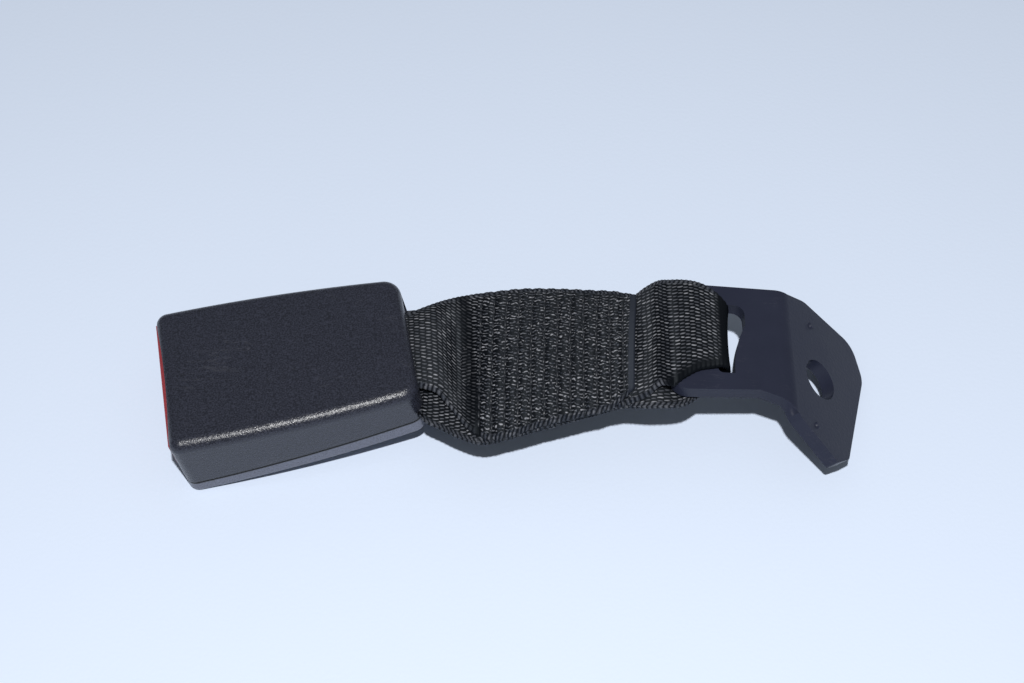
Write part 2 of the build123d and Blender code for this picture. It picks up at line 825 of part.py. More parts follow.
def anchor_plate():
    """Stamped steel plate: webbing slot, one bend, and a bolt tab with a pointed corner."""
    flat = make_face(Polyline((0, plate_south), (flat_waist_x, plate_south + flat_waist), (bend_x, bend_south),
                              (bend_x, bend_north), (0, plate_north), close=True))
    ends = flat.vertices().group_by(Axis.X)[0]
    flat = fillet(ends, plate_corner)
    flat -= webbing_slot()
    plate = extrude(flat, plate_thickness)
    middle = (bend_south + bend_north) / 2
    section = Pos(bend_x, middle, plate_thickness / 2) * (
        Plane.YZ * Rectangle(bend_north - bend_south, plate_thickness))
    plate += revolve(section, Axis((bend_x, 0, -bend_radius), (0, 1, 0)), bend_angle)
    corners = [
        ((0, bend_south), 0),
        ((tab_neck, bend_south - tab_flare), tab_corner / 2),
        ((tab_tip_x, tab_tip_y), tab_tip_radius),
        ((tab_tip_x + tab_blunt, tab_tip_y + tab_blunt * 0.65), tab_tip_radius),
        ((tab_length, tab_end_y), tab_corner),
        ((tab_crown_x, tab_crown_y), tab_corner),
        ((tab_shoulder, bend_north + tab_swell), tab_corner),
        ((0, bend_north), 0),
    ]
    tab = make_face(FilletPolyline(*[point for point, _ in corners], radius=[0.01 + r for _, r in corners],
                                   close=True))
    tab -= Pos(bolt_hole_x, 0) * Circle(bolt_hole_diameter / 2)
    tab = extrude(tab, plate_thickness)
    for x, y in (north_pip, south_pip):
        pip = Pos(bolt_hole_x + x, y, plate_thickness + pip_height / 2) * Cone(
            pip_diameter / 2, pip_diameter / 3, pip_height)
        tab += pip
    return plate + tab_place() * tab


# ================================================================ placing
def buckle_place():
    return Pos(floor_point[0], floor_point[1], 0) * Rot(Z=buckle_yaw) * Rot(Y=-buckle_pitch)


def stalk_place():
    """Origin where the webbing flexes, a little way outside the mouth."""
    flex = buckle_place() * Pos(casing_length + mouth_to_flex, 0, pin_height())
    at = flex.position
    return Pos(at.X, at.Y, at.Z) * Rot(Z=stalk_yaw) * Rot(Y=-stalk_pitch)


def plate_place():
    """The plate hangs on the stalk by its slot bar, a little to the south of the stalk's middle."""
    bar = stalk_place() * Pos(plate_start, 0, 0)
    at = bar.position
    turn = Rot(Z=plate_yaw) * Rot(Y=-plate_pitch) * Rot(X=plate_roll)
    return Pos(at.X, at.Y, at.Z) * turn * Pos(0, -plate_offset, -plate_thickness / 2)


def end_face(place, x, y, z, width, thick):
    """A flat webbing section in one frame, for lofting the flexing stretches."""
    return place * Pos(x, y, z) * stalk_section(width, thick, 0.0)


def buckle_flex():
    """Webbing that opens out from the mouth to the stitched stalk."""
    start = end_face(buckle_place(), loop_end, 0, pin_height(), mouth_width - 2, 4 * webbing_thickness)
    end = end_face(stalk_place(), stalk_start, stalk_offset, -stalk_arch / 3, webbing_width - 2, 3 * webbing_thickness)
    return loft([start, end])


def anchor_flex_webbing():
    """Webbing that gathers from the stitched stalk to the slot's width."""
    start = end_face(stalk_place(), stalk_start + stalk_length, stalk_offset, -stalk_arch / 3, webbing_width - 6,
                     3 * webbing_thickness)
    tail = anchor_flex + flex_half() - plate_start
    end = end_face(plate_place(), tail, plate_slot_y, plate_thickness / 2, folded_width, 4 * webbing_thickness)
    return loft([start, end])


def assembly():
    """Every node by name, in one frame, before it is centred."""
    upper, lower = casing_halves()
    in_buckle = {
        "upper_cover": upper_cover(upper),
        "lower_cover": lower_cover(lower),
        "buckle_frame": buckle_frame(),
        "spring_bridge": spring_bridge(),
        "latch": latch(),
        "latch_axle": latch_axle(),
        "latch_spring": latch_spring(),
        "ejector": ejector(),
        "ejector_spring": ejector_spring(),
        "release_button": release_button(),
        "button_spring_left": button_spring(1),
        "button_spring_right": button_spring(-1),
        "tongue_guide": tongue_guide(),
        "webbing_pin": webbing_pin(),
        "pin_clip": pin_clip(),
        "webbing_buckle_loop": buckle_loop(),
    }
    nodes = {name: buckle_place() * solid for name, solid in in_buckle.items()}
    nodes["webbing_buckle_flex"] = buckle_flex()
    nodes["webbing_stitched_stalk"] = stalk_place() * stitched_stalk()
    nodes["webbing_anchor_flex"] = anchor_flex_webbing()
    nodes["webbing_anchor_loop"] = plate_place() * anchor_loop()
    nodes["anchor_plate"] = plate_place() * anchor_plate()
    return nodes


def place_assembly(nodes):
    """Centre the whole part over the origin, standing on z = 0."""
    bounds = Compound(children=[Compound(solid.solids()) for solid in nodes.values()]).bounding_box()
    centre = bounds.center()
    shift = Pos(-centre.X, -centre.Y, -bounds.min.Z)
    return shift, {name: shift * solid for name, solid in nodes.items()}


def main():
    os.makedirs("parts", exist_ok=True)
    _, nodes = place_assembly(assembly())
    for name, solid in nodes.items():
        export_step(solid, f"parts/{name}.step")


if __name__ == "__main__":
    main()
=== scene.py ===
"""Looks of the seat belt buckle: moulded covers, webbing, thread, steel and the stage.

Laid out as a Blender add-on and run as a script.  Lengths in the tables are millimetres in one of
three frames, buckle, stalk or plate, and every mesh is written in metres in the row frame, which all
pieces share.
"""

import bmesh
import bpy
import numpy as np
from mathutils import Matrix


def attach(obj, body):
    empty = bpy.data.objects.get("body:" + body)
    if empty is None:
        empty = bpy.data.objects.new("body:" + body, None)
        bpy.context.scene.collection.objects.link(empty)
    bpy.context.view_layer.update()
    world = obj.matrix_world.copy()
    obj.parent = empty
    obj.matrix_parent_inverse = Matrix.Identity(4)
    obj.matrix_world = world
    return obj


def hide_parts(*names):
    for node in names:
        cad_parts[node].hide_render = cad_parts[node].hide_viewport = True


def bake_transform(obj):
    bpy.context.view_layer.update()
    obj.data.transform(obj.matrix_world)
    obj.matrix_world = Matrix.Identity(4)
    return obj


bl_info = {
    "name": "Seat belt buckle dresser",
    "version": (1, 0, 0),
    "blender": (4, 5, 0),
    "location": "View3D > Sidebar > Buckle",
    "description": "Dresses the buckle's CAD nodes with webbing, thread, plastic, paint and a stage",
    "category": "Object",
}

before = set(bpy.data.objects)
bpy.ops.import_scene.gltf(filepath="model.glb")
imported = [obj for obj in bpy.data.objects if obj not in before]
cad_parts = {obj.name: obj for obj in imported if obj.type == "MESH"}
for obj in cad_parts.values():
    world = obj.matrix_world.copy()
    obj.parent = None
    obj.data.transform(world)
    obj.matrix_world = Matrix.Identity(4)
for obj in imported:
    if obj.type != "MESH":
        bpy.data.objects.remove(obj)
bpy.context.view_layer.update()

MM = 0.001

# Two places nearer than this, in mm, are one.
CLOSE = 0.02

# Where the three frames lie at rest: origin in mm, then yaw, pitch and roll in degrees.
BUCKLE_LIE = ((-92.6805, -4.3763, 4.1552), 10.2, 9.4, 0.0)
STALK_LIE = ((-21.3762, 8.4534, 20.2185), -1.114, 7.013, 0.0)
PLATE_LIE = ((41.9868, -1.2659, 25.9723), 0.359, -5.525, 0.471)

# The plate's bend in the plate frame: where it starts, its inner radius and its angle.
BEND_START = 29.9
BEND_RADIUS = 3.0
BEND_ANGLE = 39.4

# The flare of the plate's south edge, in mm: the edge itself, how far it swings out past the bend and
# in before it, and the length of tab over which that fades.
SOUTH_EDGE = -12.4
FLARE_OUT = 3.0
FLARE_IN = 0.5
FLARE_LENGTH = 12.5

# The lower pip on the tab, from where the bend ends, and the radius round it that stays in place.
SOUTH_PIP = (7.9, -16.4)
PIP_ROOM = 1.6

# The button in the buckle frame, in mm: its front plane, the depth of its dish, how far the flat front
# stands proud, and the depth behind the dish over which that fades.
BUTTON_FRONT = 0.3
BUTTON_DISH = 0.5
BUTTON_PROUD = 0.45
BUTTON_FADE = 1.5

# The strips' grids: mm from row to row, steps across, and waves of ripple across.
STRIP_STEP = 0.42
STRIP_ACROSS = 78
RIPPLE_WAVES = 1.5

# A strip's round edges: points between its two faces, the mm of weave that each takes up, how far
# they bulge as shares of the thickness, and the UV in mm of the strip's cut ends.
EDGE_POINTS = 4
EDGE_STEP = 0.3
EDGE_BULGE = 0.6
RIB_BULGE = 0.1
END_PLACE = 0.5

# Ribs of the selvedge in mm: height, reach from the edge, the power of their fade and their low side.
RIB_HEIGHT = 0.12
RIB_REACH = 2.4
RIB_FADE = 0.7
RIB_SINK = 0.35

# Half the floor's side in mm.
FLOOR_HALF = 3000.0

# The camera in mm and degrees: what it looks at, how far off it stands, how high, and its lens.
CAMERA_AIM = (-0.1105, 15.5037, 12.0)
CAMERA_DISTANCE = 590.0
CAMERA_ELEVATION = 54.44
CAMERA_LENS = 73.83


# ======== frames and curves
def turned(lie):
    """Origin and 3x3 axes of a frame: yaw about z, then pitch about -y, then roll about x."""
    origin, yaw, pitch, roll = lie
    a, b, c = np.radians([yaw, -pitch, roll])
    about_z = np.array([[np.cos(a), -np.sin(a), 0], [np.sin(a), np.cos(a), 0], [0, 0, 1]])
    about_y = np.array([[np.cos(b), 0, np.sin(b)], [0, 1, 0], [-np.sin(b), 0, np.cos(b)]])
    about_x = np.array([[1, 0, 0], [0, np.cos(c), -np.sin(c)], [0, np.sin(c), np.cos(c)]])
    return np.array(origin, float), about_z @ about_y @ about_x


PLACES = {"buckle": turned(BUCKLE_LIE), "stalk": turned(STALK_LIE), "plate": turned(PLATE_LIE)}


def placed(name, points):
    """Points of a named frame, in the row frame, still in mm: origin + axes x point."""
    origin, axes = PLACES[name]
    return origin + np.asarray(points, float) @ axes.T


def local(name, points):
    """Points of the row frame in mm, in a named frame."""
    origin, axes = PLACES[name]
    return (points - origin) @ axes


def run_length(points):
    """Length along a line of points, from 0 at the first."""
    return np.concatenate([[0], np.cumsum(np.linalg.norm(np.diff(points, axis=0), axis=1))])


def through(knots, values, at):
    """Cubic Hermite curve through values at knots, with the slopes of central differences."""
    values = np.asarray(values, float)
    slopes = np.gradient(values, knots, axis=0)
    i = np.clip(np.searchsorted(knots, at, side="right") - 1, 0, len(knots) - 2)
    h = knots[i + 1] - knots[i]
    u = (at - knots[i]) / h
    shape = (-1,) + (1,) * (values.ndim - 1)
    u, h = u.reshape(shape), h.reshape(shape)
    a = (1 + 2 * u) * (1 - u) ** 2 * values[i] + u * (1 - u) ** 2 * h * slopes[i]
    return a + u**2 * (3 - 2 * u) * values[i + 1] + u**2 * (u - 1) * h * slopes[i + 1]


def unit(vectors):
    """Vectors made 1 long."""
    return vectors / np.maximum(np.linalg.norm(vectors, axis=-1, keepdims=True), 1e-9)


def facing(grid, along):
    """Unit normals of a grid of points: (across the strip) x (along the strip), with along in mm."""
    down = np.gradient(grid, along, axis=0)
    over = np.gradient(grid, axis=1)
    return unit(np.cross(over, down))


# ======== mesh makers
def put(name, data):
    """Object of a mesh, lamp or camera, in the scene at the origin."""
    made = bpy.data.objects.new(name, data)
    bpy.context.scene.collection.objects.link(made)
    return made


def show(name, mesh, material):
    """Piece that shows a mesh in one material."""
    mesh.materials.append(material)
    mesh.update()
    return put(name, mesh)


def new_piece(name, points, faces, material, **layers):
    """Smooth piece from points in mm, lists of corners, and UV layers with a place for every corner."""
    mesh = bpy.data.meshes.new(name)
    mesh.from_pydata((np.reshape(points, (-1, 3)) * MM).tolist(), [], faces)
    mesh.polygons.foreach_set("use_smooth", np.ones(len(mesh.polygons), bool))
    for label, values in layers.items():
        mesh.uv_layers.new(name=label).data.foreach_set("uv", values.ravel())
    return show(name, mesh, material)


def reshape(mesh, change):
    """Move a mesh's points by a function that takes and gives them in mm, in the row frame."""
    points = np.empty(len(mesh.vertices) * 3)
    mesh.vertices.foreach_get("co", points)
    mesh.vertices.foreach_set("co", (change(points.reshape(-1, 3) / MM) * MM).ravel())


def grid_faces(rows, columns):
    """Quads of a grid whose last column joins its first, and the row and column of each quad."""
    i, k = np.meshgrid(np.arange(rows - 1), np.arange(columns), indexing="ij")
    corners = i * columns + k, i * columns + (k + 1) % columns
    quads = np.stack([*corners, corners[1] + columns, corners[0] + columns], -1)
    return quads.reshape(-1, 4), i.ravel(), k.ravel()


class Strip:
    """A woven strip along a table of stations.

    Each station gives a frame, the two edges of the strip's outer face, a crown and a ripple.  The
    outer face is the straight line between the edges, lifted along its normal by
    crown x (1 - (2t - 1)^2) + ripple x sin(2 pi RIPPLE_WAVES t), with t from 0 to 1 across.
    """

    def __init__(self, stations, thickness):
        self.thickness = thickness
        first, last = (np.array([placed(row[0], row[edge]) for row in stations]) for edge in (1, 2))
        lifts = np.array([row[3:] for row in stations], float)
        knots = run_length((first + last) / 2)
        self.along = np.linspace(0, knots[-1], int(knots[-1] / STRIP_STEP) + 1)
        first, last, lifts = (through(knots, values, self.along) for values in (first, last, lifts))
        self.t = np.linspace(0, 1, STRIP_ACROSS + 1)
        flat = first[:, None] + (last - first)[:, None] * self.t[None, :, None]
        crown = lifts[:, :1] * (1 - (2 * self.t - 1) ** 2)
        ripple = lifts[:, 1:] * np.sin(2 * np.pi * RIPPLE_WAVES * self.t)
        self.outer = flat + facing(flat, self.along) * (crown + ripple)[..., None]
        self.normal = facing(self.outer, self.along)
        self.width = np.linalg.norm(last - first, axis=1)

    def press(self, depth):
        """Push the outer face in by depth, a grid in mm."""
        self.outer = self.outer - self.normal * depth[..., None]

    def rib_edges(self, pitch):
        """Ribs of RIB_HEIGHT x (sin^2(pi s / pitch) - RIB_SINK), fading out within RIB_REACH of each edge."""
        inward = np.minimum(self.t, 1 - self.t) * self.width[:, None]
        fade = np.clip(1 - inward / RIB_REACH, 0, 1) ** RIB_FADE
        self.rib = np.sin(np.pi * self.along / pitch) ** 2
        self.press(-RIB_HEIGHT * fade * (self.rib[:, None] - RIB_SINK))

    def round_edge(self, inner, edge, outward):
        """Half an ellipse from the outer face round to the inner one, fuller on each rib."""
        turn = (np.pi * np.arange(1, EDGE_POINTS + 1) / (EDGE_POINTS + 1))[None, :, None]
        middle = (self.outer[:, edge] + inner[:, edge])[:, None] / 2
        half = (self.outer[:, edge] - inner[:, edge])[:, None] / 2
        bulge = self.thickness * (EDGE_BULGE + RIB_BULGE * self.rib)[:, None, None]
        return middle + half * np.cos(turn) + outward[:, None] * np.sin(turn) * bulge

    def corner_places(self, i, k):
        """UVs of each quad's corners: along and across in metres, and inward from the nearer edge in
        metres with the cloth's state."""
        lane = np.arange(len(self.t))
        far, near = np.full(EDGE_POINTS, lane[-1]), np.zeros(EDGE_POINTS, int)
        lanes = np.concatenate([lane, far, lane[::-1], near])
        step = EDGE_STEP * np.arange(1, EDGE_POINTS + 1)
        tips = np.concatenate([0 * lane, step, 0 * lane, step[::-1]])
        over = self.t[lanes]
        across = (over - 0.5) * self.width[:, None] + np.where(over > 0.5, 1, -1) * tips
        across = np.concatenate([across, across[:, :1] - EDGE_STEP], axis=1)
        inward = np.minimum(over, 1 - over) * self.width[:, None] - tips
        inward = np.concatenate([inward, inward[:, :1]], axis=1)
        state = self.state[:, np.append(lanes, 0)]
        row, column = np.stack([i, i, i + 1, i + 1], -1), np.stack([k, k + 1, k + 1, k], -1)
        strip = np.stack([self.along[row], across[row, column]], -1) * MM
        rim = np.stack([inward[row, column] * MM, state[row, column]], -1)
        return strip.reshape(-1, 2), rim.reshape(-1, 2)

    def build(self, name, material):
        """Closed strip: outer face, round edge, inner face, round edge, and two flat ends."""
        inner = self.outer - facing(self.outer, self.along) * self.thickness
        outward = unit(np.gradient(self.outer, axis=1))
        far = self.round_edge(inner, -1, outward[:, -1])
        near = self.round_edge(inner, 0, -outward[:, 0])
        ring = np.concatenate([self.outer, far, inner[:, ::-1], near[:, ::-1]], axis=1)
        rows, columns = ring.shape[:2]
        faces, i, k = grid_faces(rows, columns)
        strip, rim = self.corner_places(i, k)
        wide = len(self.t)
        lane = np.arange(wide - 1)
        under = 2 * wide + EDGE_POINTS - 1 - lane
        cap = np.stack([lane + 1, lane, under, under - 1], -1)
        far_arc = np.arange(wide - 1, wide + EDGE_POINTS + 1)
        near_arc = np.append(0, np.arange(columns - 1, columns - EDGE_POINTS - 2, -1))
        tail = (rows - 1) * columns
        ends = cap.tolist() + (cap[:, ::-1] + tail).tolist()
        ends += [arc.tolist() for arc in (far_arc[::-1], near_arc, far_arc + tail, near_arc[::-1] + tail)]
        plain = np.full((sum(map(len, ends)), 2), END_PLACE * MM)
        return new_piece(name, ring, faces.tolist() + ends, material,
                         strip=np.concatenate([strip, plain]), rim=np.concatenate([rim, plain]))


def bumps_in(x, centres, spread):
    """Sum of bell curves exp(-((x - c) / spread)^2) over the centres c."""
    return np.exp(-(((x[..., None] - centres) / spread) ** 2)).sum(-1)


def smoothed(value, low, high):
    """Smooth step from 0 at low to 1 at high."""
    part = np.clip((value - low) / (high - low), 0, 1)
    return part * part * (3 - 2 * part)


# ======== node trees
def feed(tree, place, value):
    """Give an input a plain value, or link an output to it."""
    if isinstance(value, Value):
        tree.links.new(value.socket, place)
    else:
        place.default_value = value


def add(tree, kind, inputs=None, take=0, **properties):
    """New node.  inputs maps its inputs, by name or number, to plain values or outputs of other nodes.

    Returns the output named by take, or a list of outputs where take is a tuple.
    """
    made = tree.nodes.new(kind)
    for key, value in properties.items():
        setattr(made, key, value)
    for key, value in (inputs or {}).items():
        feed(tree, made.inputs[key], value)
    if isinstance(take, tuple):
        return [Value(tree, made.outputs[key]) for key in take]
    return Value(tree, made.outputs[take])


def by_math(operation, swapped=False):
    """A method of Value that adds one Math node; swapped puts the value itself last."""
    def method(self, *others):
        numbers = (*others, self) if swapped else (self, *others)
        return add(self.tree, "ShaderNodeMath", dict(enumerate(numbers)), operation=operation)
    return method


class Value:
    """An output in a node tree.  + - * / **, abs and the methods below add one Math node each.

    whole and part are floor and fraction, and line(slope, start) is value x slope + start.
    """

    def __init__(self, tree, socket):
        self.tree, self.socket = tree, socket

    __add__ = by_math("ADD")
    __radd__ = by_math("ADD", swapped=True)
    __sub__ = by_math("SUBTRACT")
    __rsub__ = by_math("SUBTRACT", swapped=True)
    __mul__ = by_math("MULTIPLY")
    __truediv__ = by_math("DIVIDE")
    __pow__ = by_math("POWER")
    __abs__ = by_math("ABSOLUTE")
    at_least = by_math("MAXIMUM")
    at_most = by_math("MINIMUM")
    whole = by_math("FLOOR")
    part = by_math("FRACT")
    root = by_math("SQRT")
    line = by_math("MULTIPLY_ADD")

    def ranged(self, low, high, from_low=0.0, from_high=1.0, **properties):
        """Low where the value is from_low, high where it is from_high, and no further."""
        ends = {"Value": self, "To Min": low, "To Max": high, "From Min": from_low, "From Max": from_high}
        return add(self.tree, "ShaderNodeMapRange", ends, **properties)

    def between(self, low, high):
        """Colour low where the value is 0 and high where it is 1."""
        low, high = ((*end, 1.0) if isinstance(end, tuple) else end for end in (low, high))
        return add(self.tree, "ShaderNodeMix", {0: self, 6: low, 7: high}, take=2, data_type="RGBA")

    def bump(self, strength, distance):
        """Normal that takes the value as a height."""
        return add(self.tree, "ShaderNodeBump", {"Strength": strength, "Distance": distance, "Height": self})


def noise(tree, place, scale, detail, take="Fac", **properties):
    """Noise of a scale at a place, as a number unless take says Color."""
    inputs = {"Vector": place, "Scale": scale, "Detail": detail}
    return add(tree, "ShaderNodeTexNoise", inputs, take, **properties)


def object_place(tree):
    """Object coordinates, which are metres in the row frame."""
    return add(tree, "ShaderNodeTexCoord", take="Object")


def shade(colour, share, more=0.0, top=1.0):
    """A colour times share plus more, up to top."""
    return tuple(min(top, share * part + more) for part in colour)


# ======== shader groups
def start_group(name, inputs, outputs):
    """Empty group of a name: inputs maps names to default values, outputs names its numbers."""
    group = bpy.data.node_groups.new(name, "ShaderNodeTree")
    for label, value in inputs.items():
        kind = "NodeSocketVector" if isinstance(value, tuple) else "NodeSocketFloat"
        group.interface.new_socket(name=label, in_out="INPUT", socket_type=kind).default_value = value
    for label in outputs:
        group.interface.new_socket(name=label, in_out="OUTPUT", socket_type="NodeSocketFloat")
    return group, add(group, "NodeGroupInput", take=tuple(inputs))


def put_out(group, outputs):
    """Link a group's outputs, by name."""
    result = group.nodes.new("NodeGroupOutput")
    for label, value in outputs.items():
        feed(group, result.inputs[label], value)
    return group


# The weave: how far a float leans over its length, in rows; how steeply it falls off to its ends and
# its sides; the same for a rib of the selvedge, and its lean in ribs per metre.
FLOAT_LEAN = 1.2
FLOAT_ENDS = 4.0
FLOAT_SIDES = 2.2
RIB_SIDES = 2.1
RIB_LEAN = 300.0

# Where the ribs start and where they have taken over, in metres from the edge, and how much of the painted
# glint they lose.
RIBS_START = 0.0012
RIBS_FULL = 0.0004
RIB_DULL = 0.7

# The jostle of the floats, along a row in floats and across it in rows: its slope by how far the cloth
# is sewn, and its start.  Then the scale of both.
JOSTLE_ALONG = (0.6, 0.2)
JOSTLE_ACROSS = (1.3, 0.5)
JOSTLE_SCALE = 640.0

# Painted glint, a highlight painted on the floats: power of a float's crest, slope and start of its
# brightness, and the same for the sparks of sewn cloth, with their scale.
CREST_POWER = 1.6
BRIGHTNESS = (0.8, 0.2)
SPARK_SCALE = 1500.0
SPARKS = (3.0, -1.7)


def twill_group():
    """Webbing weave on a strip's UV: slanting floats in rows, each row half a float on from the last.

    Rim holds the distance to the nearest edge and the cloth's state: 1 where it is sewn, which jostles
    the floats, and -1 where it is pressed smooth, which flattens the floats and takes their glint away, so
    that the material paints that cloth in shade.  Along the edge, ribs take over from the floats.  The
    first output is the floats' relief; the second is a highlight painted on their crests.
    """
    inputs = {"UV": (0, 0, 0), "Rim": (0, 0, 0), "Row": 0.0006, "Float": 0.003, "Rib": 0.0012}
    group, (place, rim, row_width, float_length, rib_pitch) = start_group(
        "twill_weave", inputs, ["Height", "Painted Glint"])
    along, across = add(group, "ShaderNodeSeparateXYZ", {0: place}, take=(0, 1))
    inward, state = add(group, "ShaderNodeSeparateXYZ", {0: rim}, take=(0, 1))
    jostle = noise(group, place, JOSTLE_SCALE, 0.0, "Color", noise_dimensions="2D")
    jostle_along, jostle_across = add(group, "ShaderNodeSeparateColor", {0: jostle}, take=(0, 1))
    sewn_part = state.at_least(0.0)
    # 1 where the floats stand out and take the painted glint, 0 where the cloth is pressed smooth and painted
    # in shade.
    woven = 1.0 + state.at_most(0.0)
    v = across / row_width + (jostle_across - 0.5) * sewn_part.line(*JOSTLE_ACROSS)
    row = v.whole()
    u = along / float_length + (jostle_along - 0.5) * sewn_part.line(*JOSTLE_ALONG)
    u = row.line(0.5, u)
    down = u.part() - 0.5
    aslant = v.part() - 0.5 - down * FLOAT_LEAN
    ends = 1.0 - (down * FLOAT_ENDS) ** 2.0
    sides = 1.0 - (aslant * FLOAT_SIDES) ** 2.0
    lift = (ends.at_least(0.0) * sides.at_least(0.0)).root()
    rib = (along / rib_pitch + inward * RIB_LEAN).part() - 0.5
    rib = 1.0 - (rib * RIB_SIDES) ** 2.0
    at_rim = inward.ranged(0.0, 1.0, RIBS_START, RIBS_FULL, interpolation_type="SMOOTHSTEP")
    relief = add(group, "ShaderNodeMix", {0: at_rim, 2: lift, 3: rib.at_least(0.0)})
    cell = add(group, "ShaderNodeCombineXYZ", {0: u.whole(), 1: row})
    lot = add(group, "ShaderNodeTexWhiteNoise", {"Vector": cell}, "Value", noise_dimensions="2D")
    spark = noise(group, place, SPARK_SCALE, 0.0, noise_dimensions="2D")
    # The painted glint: a highlight painted on each float's crest, brighter at random, sparking on sewn cloth
    # and duller on the ribs.
    crest = relief ** CREST_POWER * woven * at_rim.line(-RIB_DULL, 1.0)
    bright = (lot ** 2.0).line(*BRIGHTNESS)
    broken = sewn_part * spark.line(*SPARKS)
    bright = broken.line(bright, bright).at_least(0.0)
    return put_out(group, {"Height": relief * woven, "Painted Glint": crest * bright})


def grain_group():
    """Spark-eroded grain: fine cells over a slow cloud, on Object coordinates."""
    inputs = {"Scale": 2600.0, "Cloud": 45.0, "Stretch": (1, 1, 1)}
    group, (scale, cloud, stretch) = start_group("moulded_grain", inputs, ["Height", "Cloudy"])
    place = object_place(group)
    laid = add(group, "ShaderNodeMapping", {0: place, "Scale": stretch})
    fine, slow = noise(group, laid, scale, 2.0), noise(group, place, cloud, 4.0)
    return put_out(group, {"Height": fine, "Cloudy": slow})


# Scuffs: how hairs are stretched, their scale and thinness against the patches, and the patches' ends.
HAIR_STRETCH = (0.12, 1.0, 0.5)
HAIR_SCALE = 6.0
HAIR_THINNESS = 60.0
PATCH_ENDS = (0.52, 0.68)


def scuff_group():
    """Hair scratches and rubbed spots: thin ridges of stretched noise inside patches of slow noise."""
    inputs = {"Turn": 0.4, "Fineness": 220.0, "Amount": 0.5}
    group, (angle, fineness, amount) = start_group("scuffs", inputs, ["Mask"])
    place = object_place(group)
    turn = add(group, "ShaderNodeCombineXYZ", {2: angle})
    laid = add(group, "ShaderNodeMapping", {0: place, "Rotation": turn, "Scale": HAIR_STRETCH})
    ridge = abs(noise(group, laid, fineness * HAIR_SCALE, 3.0) - 0.5)
    thin = 1.0 - ridge * HAIR_THINNESS
    rubbed = noise(group, place, fineness, 2.0).ranged(0.0, 1.0, *PATCH_ENDS)
    return put_out(group, {"Mask": thin.at_least(0.0) * rubbed * amount})


GROUP_MAKERS = {"twill_weave": twill_group, "moulded_grain": grain_group, "scuffs": scuff_group}
GROUPS = {}


def use_group(tree, name, **values):
    """One use of a shared node group, built the first time it is asked for; gives its outputs by name."""
    if name not in GROUPS:
        GROUPS[name] = GROUP_MAKERS[name]()
    made = tree.nodes.new("ShaderNodeGroup")
    made.node_tree = GROUPS[name]
    for key, value in values.items():
        feed(tree, made.inputs[key], value)
    return {place.name: Value(tree, place) for place in made.outputs}


# ======== materials
# The lower cover's colour, lighter than the shell's: painted light that its side catches.
LIT_LOWER_COVER_COLOUR = (0.075, 0.080, 0.105)
GUIDE_COLOURS = (0.014, 0.014, 0.017), (0.022, 0.022, 0.026)
ACETAL_COLOURS = (0.66, 0.65, 0.60), (0.78, 0.77, 0.73)
PLATED_STEEL = (0.62, 0.60, 0.54)
SPRING_STEEL = (0.46, 0.46, 0.48)
PRIMER_COLOUR = (0.09, 0.09, 0.11)
CUT_BAND_COLOUR = (0.017, 0.020, 0.029)
THREAD_COLOURS = (0.005, 0.006, 0.009), (0.022, 0.026, 0.034)
# Painted shade in the gap where the two covers meet.
SEAM_SHADE_COLOUR = (0.002, 0.002, 0.003)
SKY_COLOUR = (0.90, 0.95, 1.0)


def start_material(name, **values):
    """Principled material; values are plain socket values."""
    material = bpy.data.materials.new(name)
    material.use_nodes = True
    wire(material.node_tree, {key.replace("_", " "): value for key, value in values.items()})
    return material, material.node_tree


def wire(tree, values):
    """Give inputs of the tree's Principled shader plain values or outputs of other nodes."""
    shader = tree.nodes["Principled BSDF"]
    for key, value in values.items():
        feed(tree, shader.inputs[key], value)


def seam_shade_line(tree):
    """Mask of the painted shade in the seam: 1 within 0.4 mm of the plane where the two covers meet, 0 from
    0.6 mm: |place . up - origin . up|.
    """
    origin, axes = PLACES["buckle"]
    up = axes[:, 2]
    height = add(tree, "ShaderNodeVectorMath", {0: object_place(tree), 1: tuple(up)}, "Value",
                 operation="DOT_PRODUCT")
    return abs(height - float(origin @ up) * MM).ranged(1.0, 0.0, 0.0004, 0.0006)


def plastic(name, dark, light, rough, grain_scale, grain_depth, scuff, sheen=0.1, seam=False):
    """Moulded plastic: cloudy between dark and light, pale specks on the grain that are partly its own tone
    and partly painted sparkle, a bump from the grain, paler scuffs.

    With a seam, painted shade darkens the gap where the two covers meet.
    """
    material, tree = start_material(name)
    grain = use_group(tree, "moulded_grain", Scale=grain_scale)
    wear = use_group(tree, "scuffs", Amount=scuff, Fineness=70.0, Turn=0.18)
    # Pale specks on the grain's high points: partly the plastic's own tone, partly painted sparkle.
    specks = grain["Height"].ranged(0.0, 1.0, 0.38, 0.66)
    tone = specks.between(grain["Cloudy"].between(dark, light), shade(light, 1.9, top=0.85))
    tone = wear["Mask"].between(tone, shade(light, 1.5, more=0.05))
    # Painted shade in the seam between the covers.
    if seam:
        tone = seam_shade_line(tree).between(tone, SEAM_SHADE_COLOUR)
    wire(tree, {"Base Color": tone,
                "Roughness": grain["Height"].ranged(rough - sheen, rough + sheen, 0.3, 0.7),
                "Normal": grain["Height"].bump(grain_depth, 0.0002)})
    return material


def steel(name, tone, rough, stretch, scuff):
    """Metal with drawn or rolled lines: grain stretched along one way, in colour and roughness."""
    material, tree = start_material(name, Metallic=1.0)
    grain = use_group(tree, "moulded_grain", Scale=900.0, Stretch=stretch)
    wear = use_group(tree, "scuffs", Amount=scuff)
    lines = grain["Height"].between(shade(tone, 0.72), tone)
    wire(tree, {"Base Color": wear["Mask"].between(lines, shade(tone, 0.5)),
                "Roughness": grain["Cloudy"].ranged(rough - 0.08, rough + 0.1, 0.35, 0.65),
                "Normal": grain["Height"].bump(0.15, 0.0001)})
    return material


